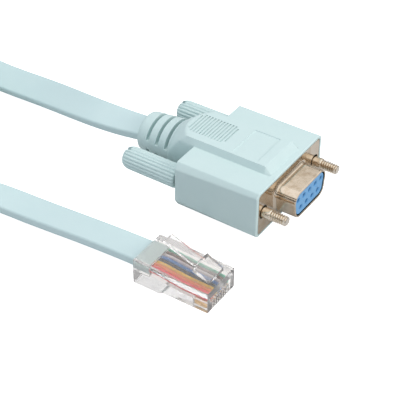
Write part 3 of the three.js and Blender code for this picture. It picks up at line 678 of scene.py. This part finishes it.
for place, side in (("near", -1), ("far", 1)):
    y = side * SCREW_Y
    shapes = [(KNOB_REAR_X + away, size) for away, size in KNOB_REAR_END]
    shapes += [(KNOB_FRONT_X - away, size) for away, size in KNOB_FRONT_END]
    knob = loft(f"{place}_knob_ridged", [
        ring_at(x, ridged(size, RIDGE_DEPTH * smooth(x - KNOB_REAR_X)), y, AXIS_Z)
        for x, size in shapes])
    slot = block("slot", (KNOB_REAR_X - 1, y - DRIVER_SLOT_HALF, AXIS_Z - 5),
                 (KNOB_REAR_X + DRIVER_SLOT_DEPTH, y + DRIVER_SLOT_HALF, AXIS_Z + 5))
    hole = bar(KNOB_FRONT_X - 6.3, KNOB_FRONT_X + 1, y, AXIS_Z, SCREW_BORE)
    cut(knob, soften(slot, 0.12), hole)
    finish_smooth(knob, 40)
    stops = [KNOB_FRONT_X - 6, SCREW_TIP_X - THREAD_LENGTH - 0.2]
    stops += [SCREW_TIP_X - THREAD_LENGTH + THREAD_LENGTH * k / THREAD_RINGS
              for k in range(THREAD_RINGS + 1)]
    turned = [2 * math.pi * k / SCREW_SIDES for k in range(SCREW_SIDES)]
    screw = loft(f"{place}_screw_threaded", [
        ring_at(x, [polar(thread_radius(x, a), a) for a in turned], y, AXIS_Z) for x in stops])
    finish_smooth(screw, 30)
    for piece, node, finish in ((knob, "knob", "hood_plastic"), (screw, "screw", "nickel_plate")):
        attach(piece, f"{place}_thumbscrew")
        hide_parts(f"{place}_{node}")
    print(place, "knob and screw:", len(knob.data.polygons), len(screw.data.polygons), "faces")

# %% [markdown]
# ## The pressed shell
# The flange is a thin plate with rounded corners. The D shaped wall is drawn out of the same
# sheet, so its root flares into the plate and its front lip is rounded. Rings of the D outline
# give both, and the inside and the two screw holes are cut afterwards.

# %% Shell with its flange
SHELL_FRONT_X = FACE_X + SHELL_DEPTH
SHEET = 0.5
FLANGE_THICKNESS, FLANGE_CORNER = 0.8, 0.9
# How far along, and how far inside the outer face: the root's flare and the front lip.
ROOT_FLARE = [(-0.4, -0.75), (0, -0.75), (0.07, -0.48), (0.22, -0.25), (0.45, -0.09), (0.8, 0)]
FRONT_LIP = [(0.35, 0), (0.17, 0.03), (0.05, 0.1), (0, 0.22)]
INSIDE = [(FACE_X - 2, 0.2), (FACE_X - 0.7, 0.2), (FACE_X - 0.2, SHEET),
          (SHELL_FRONT_X - 0.15, SHEET), (SHELL_FRONT_X + 0.15, 0.33), (SHELL_FRONT_X + 1, 0.33)]

plate = block("plated_shell",
              (FACE_X - FLANGE_THICKNESS, -FLANGE_HALF_WIDTH, AXIS_Z - FLANGE_HALF_HEIGHT),
              (FACE_X, FLANGE_HALF_WIDTH, AXIS_Z + FLANGE_HALF_HEIGHT))
bevel_along_x(plate, FLANGE_CORNER, 4)
wall = [(FACE_X + away, inset) for away, inset in ROOT_FLARE]
wall += [(SHELL_FRONT_X - away, inset) for away, inset in FRONT_LIP]
outer = loft("wall", [ring_at(x, d_outline(inset), 0, AXIS_Z) for x, inset in wall])
combine(plate, outer, "UNION")
inner = loft("inner", [ring_at(x, d_outline(inset), 0, AXIS_Z) for x, inset in INSIDE])
holes = [bar(FACE_X - 2, FACE_X + 1, side * SCREW_Y, AXIS_Z, SCREW_HOLE, 40)
         for side in (-1, 1)]
shell = cut(plate, inner, together("holes", holes))
soften(shell, 0.1, 2, 40)
finish_smooth(shell, 35)
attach(shell, "cable")
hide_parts("d_shell")
print("shell:", len(shell.data.polygons), "faces")

# %% [markdown]
# ## The blue insulator
# It fills the shell and stops a little behind its front lip. Nine holes with a countersunk
# mouth let the pins in, five above and four below.

# %% Insulator and its nine holes
INSULATOR_LENGTH = 9.5
PIN_HOLE, CONE_FOOT, CONE_MOUTH = 1.3, 1.1, 1.85
CONE_DEPTH, MOUTH_DEPTH = 0.35, 1.2
front = SHELL_FRONT_X - 0.25
insulator = loft("blue_block", [ring_at(x, d_outline(inset), 0, AXIS_Z) for x, inset in (
    (front - INSULATOR_LENGTH, 0.8), (front - 0.15, 0.8), (front - 0.04, 0.85), (front, 0.95))])
mouths = [bar(front - 2.5, front + 0.4, y, z, PIN_HOLE, 32) for y, z in PIN_PLACES]
cones = [bar(front - CONE_DEPTH, front + 0.05, y, z, CONE_FOOT, 32, CONE_MOUTH)
         for y, z in PIN_PLACES]
backs = [bar(front - 10, front - MOUTH_DEPTH, y, z, CONTACT_BORE, 24) for y, z in PIN_PLACES]
cut(insulator, together("mouths", mouths), together("cones", cones), together("backs", backs))
finish_smooth(insulator, 30)
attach(insulator, "cable")
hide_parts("insulator")
print("insulator:", len(insulator.data.polygons), "faces")

# %% [markdown]
# ## The clear plug
# Its side view is carried across the plug's width and its edges are rounded. The cavities
# are what one sees through the clear plastic: a pocket for the jacket, a sloped channel for the
# eight cores, and a narrow slot for each contact.

# %% Plug housing
PLUG_NOSE_X = plug_high.x
PLUG_HALF = 11.68 / 2
HEEL = 0.7
HEEL_END_X = PLUG_REAR_X + 7.8
PLUG_TOP_Z = 7.2
PLUG_NOSE_TOP_Z = 6.8
BLADE_HEIGHT, BLADE_LENGTH = 2.3, 3.6
CORE_RADIUS = 0.4
CORE_PITCH = 1.02
CHANNEL_HALF = 0.75
SLOT_HALF_WIDTH = 0.3
POCKET_HALF, POCKET_LOW, POCKET_HIGH = 4.5, 3.1, 6.3
WIRE_Z = HEEL + BLADE_HEIGHT + GAP + CORE_RADIUS
WIRE_END_X = PLUG_NOSE_X - 0.9
WIRE_BEND_X = WIRE_END_X - BLADE_LENGTH - 3
JACKET_END_X = PLUG_REAR_X + JACKET_IN_PLUG
CORE_Y = [PLUG_Y + (i - 3.5) * CORE_PITCH for i in range(8)]


def across(name, side_view, half, y=PLUG_Y):
    """A side view in X and Z, carried across Y."""
    return loft(name, [[(x, y + side, z) for x, z in side_view] for side in (-half, half)])


housing = across("clear_housing", [
    (PLUG_REAR_X, 0), (HEEL_END_X, 0), (HEEL_END_X + HEEL, HEEL), (PLUG_NOSE_X, HEEL),
    (PLUG_NOSE_X, PLUG_NOSE_TOP_Z), (PLUG_REAR_X, PLUG_TOP_Z)], PLUG_HALF)
soften(housing, 0.3, 3)
jacket_pocket = block("pocket", (PLUG_REAR_X - 1, PLUG_Y - POCKET_HALF, POCKET_LOW),
                      (JACKET_END_X + GAP, PLUG_Y + POCKET_HALF, POCKET_HIGH))
soften(jacket_pocket, 0.5, 3)
channel = across("channel", [
    (JACKET_END_X, CABLE_IN_PLUG_Z + CHANNEL_HALF), (JACKET_END_X, CABLE_IN_PLUG_Z - CHANNEL_HALF),
    (WIRE_BEND_X, WIRE_Z - CHANNEL_HALF), (WIRE_END_X + GAP, WIRE_Z - CHANNEL_HALF),
    (WIRE_END_X + GAP, WIRE_Z + CHANNEL_HALF), (WIRE_BEND_X, WIRE_Z + CHANNEL_HALF),
], 3.5 * CORE_PITCH + CHANNEL_HALF)
slots, mouth_slots = [], []
for y in CORE_Y:
    beside, beyond = y - SLOT_HALF_WIDTH, y + SLOT_HALF_WIDTH
    slots.append(block("slot", (WIRE_END_X - BLADE_LENGTH - GAP, beside, -1),
                       (WIRE_END_X + GAP, beyond, WIRE_Z)))
    mouth_slots.append(block("slot", (WIRE_END_X, beside, -1),
                             (PLUG_NOSE_X + 1, beyond, HEEL + BLADE_HEIGHT)))
cut(housing, jacket_pocket, channel, together("slots", slots),
    together("mouth_slots", mouth_slots))
finish_smooth(housing, 35)
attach(housing, "cable")
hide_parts("plug_housing")
print("housing:", len(housing.data.polygons), "faces")

# %% [markdown]
# The latch lever is clear too, and rises backwards from its root near the nose. Its wide
# root has a shoulder that catches in a socket. The lever narrows behind it.

# %% Latch lever
LEVER_LENGTH, LEVER_RISE, LEVER_THICKNESS, LEVER_HALF = 13.6, 5.2, 0.9, 1.65
SHOULDER_LENGTH, SHOULDER_HEIGHT, ROOT_HALF = 4.6, 1.5, 3.1
ROOT_X, ROOT_Z = PLUG_NOSE_X - 1.5, PLUG_NOSE_TOP_Z + GAP
TIP_X, TIP_Z = ROOT_X - LEVER_LENGTH, ROOT_Z + LEVER_RISE
SHOULDER_X = ROOT_X - SHOULDER_LENGTH
SHOULDER_Z = ROOT_Z + LEVER_RISE * SHOULDER_LENGTH / LEVER_LENGTH
lever = across("clear_latch", [
    (ROOT_X - 1, ROOT_Z + 0.35), (ROOT_X - 1, ROOT_Z + LEVER_THICKNESS),
    (SHOULDER_X, SHOULDER_Z + LEVER_THICKNESS), (TIP_X, TIP_Z + LEVER_THICKNESS),
    (TIP_X - 0.4, TIP_Z + LEVER_THICKNESS / 2), (TIP_X, TIP_Z), (SHOULDER_X, SHOULDER_Z),
], LEVER_HALF)
root = across("root", [
    (ROOT_X, ROOT_Z), (ROOT_X, ROOT_Z + LEVER_THICKNESS),
    (SHOULDER_X, SHOULDER_Z + SHOULDER_HEIGHT), (SHOULDER_X, SHOULDER_Z)], ROOT_HALF)
combine(lever, root, "UNION")
soften(lever, 0.15, 2, 25)
finish_smooth(lever, 35)
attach(lever, "latch")
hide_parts("plug_latch")
print("latch:", len(lever.data.polygons), "faces")

# %% [markdown]
# Eight gold plated blades stand in their slots, and eight insulated cores run from the
# jacket's end down to them. A core is a small circle carried along a smooth path.

# %% Contacts and cores
WIRE_NAMES = ["red", "orange", "yellow", "black", "blue", "white", "brown", "green"]
PATH = [(JACKET_END_X - 0.1, CABLE_IN_PLUG_Z), (JACKET_END_X + 1, CABLE_IN_PLUG_Z),
        (JACKET_END_X + 2, CABLE_IN_PLUG_Z), (WIRE_BEND_X, WIRE_Z), (WIRE_BEND_X + 1.2, WIRE_Z),
        (WIRE_END_X, WIRE_Z)]
BLADE_HALF, BLADE_CORNER, BLADE_RECESS = 0.175, 0.4, 0.4
BLADE_REAR_X = WIRE_END_X - BLADE_LENGTH
BLADE_LOW, BLADE_TOP = HEEL + BLADE_RECESS, HEEL + BLADE_HEIGHT
BLADE_SIDE = [(BLADE_REAR_X, BLADE_LOW + BLADE_CORNER), (BLADE_REAR_X + BLADE_CORNER, BLADE_LOW),
              (WIRE_END_X - BLADE_CORNER, BLADE_LOW), (WIRE_END_X, BLADE_LOW + BLADE_CORNER),
              (WIRE_END_X, BLADE_TOP), (BLADE_REAR_X, BLADE_TOP)]
centre_line = through([(x, 0, z, 0) for x, z in PATH], 0.5)
blades, cores = [], []
for i, y in enumerate(CORE_Y):
    blade = across(f"blade_{i + 1}", BLADE_SIDE, BLADE_HALF, y)
    soften(blade, 0.06, 2)
    finish_smooth(blade, 40)
    rings = []
    for k, here in enumerate(centre_line):
        ahead = centre_line[min(k + 1, len(centre_line) - 1)] - centre_line[max(k - 1, 0)]
        lean = math.atan2(ahead.z, ahead.x)
        rings.append([(here.x - b * math.sin(lean), y + a, here.z + b * math.cos(lean))
                      for a, b in oval(2 * CORE_RADIUS, 2 * CORE_RADIUS, 16)])
    core = loft(f"core_{WIRE_NAMES[i]}", rings)
    finish_smooth(core, 50)
    for piece, node, finish in ((blade, "plug_contact", "gold_plate"),
                                (core, "wire", f"wire_{WIRE_NAMES[i]}")):
        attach(piece, "cable")
        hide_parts(f"{node}_{i + 1}")
    blades.append(blade)
    cores.append(core)
print("contacts and cores:", len(blades), len(cores))

# %% [markdown]
# ## Materials
# All the opaque plastics share one surface: a broad faint mottle, a fine grain, and patches
# that are rubbed smoother. The plated metals share another, with fine streaks and dull warm
# stains. Both are groups on object coordinates, so pieces differ only in their numbers.

# %% Shared surface groups
def new_group(name, inputs, outputs):
    """A node group with its sockets, and the two nodes at its ends."""
    group = bpy.data.node_groups.new(name, "ShaderNodeTree")
    for label, kind, value in inputs:
        socket = group.interface.new_socket(label, in_out="INPUT", socket_type=kind)
        socket.default_value = value
    for label, kind in outputs:
        group.interface.new_socket(label, in_out="OUTPUT", socket_type=kind)
    return group, group.nodes.new("NodeGroupInput"), group.nodes.new("NodeGroupOutput")


def node(tree, kind, link_from=None, **settings):
    """One node. Settings are its properties, or its inputs when the name is one of them."""
    made = tree.nodes.new(kind)
    for key, value in settings.items():
        label = key.replace("_", " ")
        if label in made.inputs:
            made.inputs[label].default_value = value
        else:
            setattr(made, key, value)
    for label, source in (link_from or {}).items():
        tree.links.new(source, made.inputs[label])
    return made


def blend_colours(tree, factor, first, second, mode="MIX"):
    """Mixes or multiplies two colours, each a value or another node's output."""
    mix = node(tree, "ShaderNodeMix", data_type="RGBA", blend_type=mode)
    for index, source in ((0, factor), (6, first), (7, second)):
        if isinstance(source, (tuple, float, int)):
            mix.inputs[index].default_value = source
        else:
            tree.links.new(source, mix.inputs[index])
    return mix.outputs[2]


def math_node(tree, operation, first, second=0.0):
    """One sum on two values, each a number or another node's output."""
    made = node(tree, "ShaderNodeMath", operation=operation)
    for index, source in ((0, first), (1, second)):
        if isinstance(source, (float, int)):
            made.inputs[index].default_value = source
        else:
            tree.links.new(source, made.inputs[index])
    return made.outputs[0]


def about_zero(tree, noise, strength):
    """A noise that runs around 0.5, brought to run around zero."""
    middle = math_node(tree, "SUBTRACT", noise.outputs["Fac"], 0.5)
    return math_node(tree, "MULTIPLY", middle, strength)


FLOAT, COLOUR, VECTOR = "NodeSocketFloat", "NodeSocketColor", "NodeSocketVector"
moulded, ins, outs = new_group(
    "moulded_surface",
    [("Vector", VECTOR, (0, 0, 0)), ("Colour", COLOUR, (0.6, 0.7, 0.7, 1)),
     ("Grain", FLOAT, 1.0), ("Roughness", FLOAT, 0.45), ("Shade", FLOAT, 0.05)],
    [("Colour", COLOUR), ("Roughness", FLOAT), ("Height", FLOAT)])
at = {"Vector": ins.outputs["Vector"]}
broad = node(moulded, "ShaderNodeTexNoise", at, Scale=170.0, Detail=3.0, Roughness=0.55)
fine = node(moulded, "ShaderNodeTexNoise", at, Scale=2600.0, Detail=3.0, Roughness=0.6)
pits = node(moulded, "ShaderNodeTexVoronoi", at, Scale=1500.0)
plain = ins.outputs["Colour"]
darker = blend_colours(moulded, 1.0, plain, (0.86, 0.9, 0.92, 1), "MULTIPLY")
uneven = math_node(moulded, "MULTIPLY", broad.outputs["Fac"], ins.outputs["Shade"])
uneven = math_node(moulded, "MULTIPLY", uneven, 12.0)
moulded.links.new(blend_colours(moulded, uneven, plain, darker), outs.inputs["Colour"])
change_of_gloss = math_node(moulded, "ADD", about_zero(moulded, broad, 0.22),
                            about_zero(moulded, fine, 0.16))
rough = math_node(moulded, "ADD", ins.outputs["Roughness"], change_of_gloss)
moulded.links.new(rough, outs.inputs["Roughness"])
hollows = math_node(moulded, "MULTIPLY", pits.outputs["Distance"], 0.6)
grain = math_node(moulded, "ADD", fine.outputs["Fac"], hollows)
grain = math_node(moulded, "MULTIPLY", grain, ins.outputs["Grain"])
moulded.links.new(grain, outs.inputs["Height"])

plated, ins, outs = new_group(
    "plated_surface",
    [("Vector", VECTOR, (0, 0, 0)), ("Colour", COLOUR, (0.7, 0.6, 0.5, 1)),
     ("Roughness", FLOAT, 0.22)],
    [("Colour", COLOUR), ("Roughness", FLOAT), ("Height", FLOAT)])
at = {"Vector": ins.outputs["Vector"]}
plain = ins.outputs["Colour"]
stretched = node(plated, "ShaderNodeMapping", at, Scale=(0.08, 1.0, 1.0))
streaks = node(plated, "ShaderNodeTexNoise", {"Vector": stretched.outputs["Vector"]},
               Scale=2400.0, Detail=4.0, Roughness=0.65)
stain = node(plated, "ShaderNodeTexNoise", at, Scale=320.0, Detail=4.0, Roughness=0.6)
dull = node(plated, "ShaderNodeMapRange", {"Value": stain.outputs["Fac"]},
            From_Min=0.45, From_Max=0.75)
warm = blend_colours(plated, 1.0, plain, (0.8, 0.7, 0.58, 1), "MULTIPLY")
stained = blend_colours(plated, dull.outputs["Result"], plain, warm)
plated.links.new(stained, outs.inputs["Colour"])
worn = math_node(plated, "MULTIPLY", dull.outputs["Result"], 0.14)
change_of_gloss = math_node(plated, "ADD", worn, about_zero(plated, streaks, 0.14))
rough = math_node(plated, "ADD", ins.outputs["Roughness"], change_of_gloss)
plated.links.new(rough, outs.inputs["Roughness"])
plated.links.new(streaks.outputs["Fac"], outs.inputs["Height"])
print("groups:", [group.name for group in bpy.data.node_groups])

# %% [markdown]
# Each opaque material is one Principled shader on such a group. The hood and its knobs, the
# screws and the insulator have painted shade in their slots, furrows and holes: their colour is
# darkened where little light gets in. The metals are warm nickel and gold plate. The clear
# plastic is glass-like and slightly hazy.

# %% Materials
MOULDED_BUMP, PLATED_BUMP, CLEAR_BUMP = 0.00002, 0.000004, 0.00004
# Ambient occlusion values between which the painted crevice shade fades from full to none.
CLOSED_IN, OPEN = 0.05, 0.42


def new_material(name):
    """A material, its tree, its Principled shader, and a coordinate node to read from."""
    material = bpy.data.materials.new(name)
    material.use_nodes = True
    tree = material.node_tree
    return material, tree, tree.nodes["Principled BSDF"], tree.nodes.new("ShaderNodeTexCoord")


def surface(name, group, colour, painted_crevice_shade=0.0, reach=0.001, **values):
    """A Principled material whose colour, roughness and bump come from a shared group.
    With a crevice share above 0 the colour gets painted shade: it darkens to that share where
    ambient occlusion finds the surface closed in."""
    material, tree, shader, place = new_material(name)
    shared = tree.nodes.new("ShaderNodeGroup")
    shared.node_tree = group
    tree.links.new(place.outputs["Object"], shared.inputs["Vector"])
    shared.inputs["Colour"].default_value = (*colour, 1)
    for label, value in values.items():
        label = label.replace("_", " ")
        (shared if label in shared.inputs else shader).inputs[label].default_value = value
    tree.links.new(shared.outputs["Roughness"], shader.inputs["Roughness"])
    seen = shared.outputs["Colour"]
    # Painted shade: the colour is multiplied down where ambient occlusion finds the surface closed
    # in.
    if painted_crevice_shade:
        near = node(tree, "ShaderNodeAmbientOcclusion", samples=12, Distance=reach)
        depth = node(tree, "ShaderNodeMapRange", {"Value": near.outputs["AO"]},
                     From_Min=CLOSED_IN, From_Max=OPEN, To_Min=painted_crevice_shade, To_Max=1.0)
        seen = blend_colours(tree, 1.0, seen, depth.outputs["Result"], "MULTIPLY")
    tree.links.new(seen, shader.inputs["Base Color"])
    raised = node(tree, "ShaderNodeBump", {"Height": shared.outputs["Height"]}, Strength=1.0,
                  Distance=MOULDED_BUMP if group == moulded else PLATED_BUMP)
    tree.links.new(raised.outputs["Normal"], shader.inputs["Normal"])
    return material


def glassy(name, colour, roughness):
    """A clear plastic with a faint haze, a little more in some places than in others."""
    material, tree, shader, place = new_material(name)
    haze = node(tree, "ShaderNodeTexNoise", {"Vector": place.outputs["Object"]},
                Scale=240.0, Detail=3.0)
    shade = node(tree, "ShaderNodeMapRange", {"Value": haze.outputs["Fac"]},
                 To_Min=roughness * 0.5, To_Max=roughness * 1.6)
    tree.links.new(shade.outputs["Result"], shader.inputs["Roughness"])
    shader.inputs["Base Color"].default_value = (*colour, 1)
    shader.inputs["Transmission Weight"].default_value = 0.91
    shader.inputs["IOR"].default_value = 1.45
    flow = node(tree, "ShaderNodeBump", {"Height": haze.outputs["Fac"]},
                Strength=1.0, Distance=CLEAR_BUMP)
    tree.links.new(flow.outputs["Normal"], shader.inputs["Normal"])
    return material


def wear(piece, material):
    """Makes this the piece's only material."""
    piece.data.materials.clear()
    piece.data.materials.append(material)


# Painted shade in the hood's and knobs' slots, furrows and panel lines, down to half the colour.
hood_plastic = surface("hood_plastic", moulded, (0.60, 0.735, 0.72), painted_crevice_shade=0.5,
                       Roughness=0.5, Grain=1.0, Shade=0.05, Specular_IOR_Level=0.35)
jacket = surface("jacket", moulded, (0.59, 0.73, 0.73), Roughness=0.48, Grain=0.5, Shade=0.04,
                 Specular_IOR_Level=0.35)
nickel = surface("nickel_plate", plated, (0.74, 0.64, 0.52), Roughness=0.13, Metallic=1.0)
# Painted shade in the screws' thread grooves, down to 3% of the colour.
screw_nickel = surface("screw_nickel", plated, (0.82, 0.74, 0.63), painted_crevice_shade=0.03, reach=0.0006,
                       Roughness=0.12, Metallic=1.0)
gold = surface("gold_plate", plated, (0.78, 0.52, 0.22), Roughness=0.22, Metallic=1.0)
# Painted shade in the insulator's pin holes, down to 5% of the colour.
blue = surface("blue_insulator", moulded, (0.15, 0.39, 0.68), painted_crevice_shade=0.05, reach=0.0012,
               Roughness=0.42, Grain=0.5, Shade=0.05)
clear = glassy("clear_plastic", (0.97, 0.955, 0.945), 0.035)
WIRE_COLOURS = {
    "red": (0.9, 0.02, 0.02), "orange": (0.95, 0.22, 0.01), "yellow": (0.95, 0.58, 0.02),
    "black": (0.012, 0.012, 0.016), "blue": (0.02, 0.2, 0.62), "white": (0.8, 0.7, 0.72),
    "brown": (0.11, 0.045, 0.022), "green": (0.01, 0.5, 0.3)}

for piece, material in ((hood, hood_plastic), (cable, jacket), (shell, nickel), (insulator, blue),
                        (housing, clear), (lever, clear)):
    wear(piece, material)
for place in ("near", "far"):
    wear(bpy.data.objects[f"{place}_knob_ridged"], hood_plastic)
    wear(bpy.data.objects[f"{place}_screw_threaded"], screw_nickel)
for blade, core, colour in zip(blades, cores, WIRE_NAMES):
    wear(blade, gold)
    wear(core, surface(f"wire_{colour}", moulded, WIRE_COLOURS[colour],
                       Roughness=0.35, Grain=0.3, Shade=0.04))
for i in range(9):
    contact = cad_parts[f"socket_contact_{i + 1}"]
    for material_slot in contact.material_slots:
        material_slot.material = gold
print("materials:", len(bpy.data.materials))

# %% [markdown]
# ## Floor and light
# The photograph has a pure white ground, soft light from above and hardly any shadow. The
# floor glows white to the camera, and less so through the clear plug. A wide softbox above
# does most of the work, with a smaller one in front. What shiny faces mirror is a sky with
# dark bands, which gives the metal its streaks. All else is lit by an even, bluish sky.

# %% Floor and light
WARM_WHITE = (1, 0.945, 0.885)
SEEN_THROUGH_PLUG = 0.55
# How bright the mirrored sky is, from the horizon (0) to straight up (1).
SKY_BANDS = [(0.1, 0.05), (0.27, 0.05), (0.34, 1.0), (0.42, 1.0), (0.47, 0.05), (0.56, 0.05),
             (0.6, 0.85)]

bpy.ops.mesh.primitive_plane_add(size=6)
floor = bpy.context.object
floor.name = "floor"
floor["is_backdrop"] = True
paper = bpy.data.materials.new("paper")
paper.use_nodes = True
shader = paper.node_tree.nodes["Principled BSDF"]
shader.inputs["Base Color"].default_value = (0.62, 0.62, 0.62, 1)
shader.inputs["Roughness"].default_value = 1.0
shader.inputs["Specular IOR Level"].default_value = 0.0
shader.inputs["Emission Color"].default_value = (1, 1, 1, 1)
rays = paper.node_tree.nodes.new("ShaderNodeLightPath")
through_plug = math_node(paper.node_tree, "MULTIPLY", rays.outputs["Is Transmission Ray"],
                         SEEN_THROUGH_PLUG)
white = math_node(paper.node_tree, "MAXIMUM", rays.outputs["Is Camera Ray"], through_plug)
paper.node_tree.links.new(white, shader.inputs["Emission Strength"])
wear(floor, paper)


def softbox(name, power, width, height, place, aim=(0, -0.01, 0.01)):
    """A warm area light that looks at the connectors and that no shiny face mirrors."""
    light = bpy.data.lights.new(name, "AREA")
    light.shape, light.size, light.size_y, light.energy = "RECTANGLE", width, height, power
    light.color = WARM_WHITE
    lamp = bpy.data.objects.new(name, light)
    lamp.location = place
    lamp.visible_glossy = False
    look = Vector(aim) - Vector(place)
    lamp.rotation_euler = look.to_track_quat("-Z", "Y").to_euler()
    bpy.context.scene.collection.objects.link(lamp)


softbox("softbox_above", 9.2, 1.6, 1.6, (0.0, 0.0, 1.3))
softbox("softbox_front", 5.0, 0.5, 0.6, (1.0, 0.15, 0.6))

world = bpy.data.worlds.new("studio")
bpy.context.scene.world = world
world.use_nodes = True
sky = world.node_tree
ray = sky.nodes.new("ShaderNodeLightPath")
place = sky.nodes.new("ShaderNodeTexCoord")
height = sky.nodes.new("ShaderNodeSeparateXYZ")
sky.links.new(place.outputs["Generated"], height.inputs["Vector"])
ramp = sky.nodes.new("ShaderNodeValToRGB")
sky.links.new(height.outputs["Z"], ramp.inputs["Fac"])
steps = ramp.color_ramp
steps.elements[0].position, steps.elements[0].color = 0.0, (0.9, 0.9, 0.9, 1)
steps.elements[1].position, steps.elements[1].color = 0.75, (1, 1, 1, 1)
for position, bright in SKY_BANDS:
    step = steps.elements.new(position)
    step.color = (bright, bright * 0.97, bright * 0.93, 1)
mirrored = sky.nodes.new("ShaderNodeBackground")
mirrored.inputs["Strength"].default_value = 1.1
sky.links.new(ramp.outputs["Color"], mirrored.inputs["Color"])
even = sky.nodes["Background"]
even.inputs["Color"].default_value = (0.9, 0.97, 1.08, 1)
even.inputs["Strength"].default_value = 0.65
both = sky.nodes.new("ShaderNodeMixShader")
sky.links.new(ray.outputs["Is Glossy Ray"], both.inputs[0])
sky.links.new(even.outputs[0], both.inputs[1])
sky.links.new(mirrored.outputs[0], both.inputs[2])
sky.links.new(both.outputs[0], sky.nodes["World Output"].inputs["Surface"])
bpy.context.scene.view_settings.view_transform = "Standard"

# %% [markdown]
# ## The cable as a cord
# The cord closes the scene: its skin is shaded smooth, joins the cable's body and stands for
# the cord's three solid pieces.

finish_smooth(cable, 60)
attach(cable, "cable")
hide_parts("cable_to_hood", "cable_coil", "cable_to_plug")

# %% Sizes, and the last line
size = {"solid": [list(v) for v in SOLID_BOX], "seen": [list(v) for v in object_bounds()]}
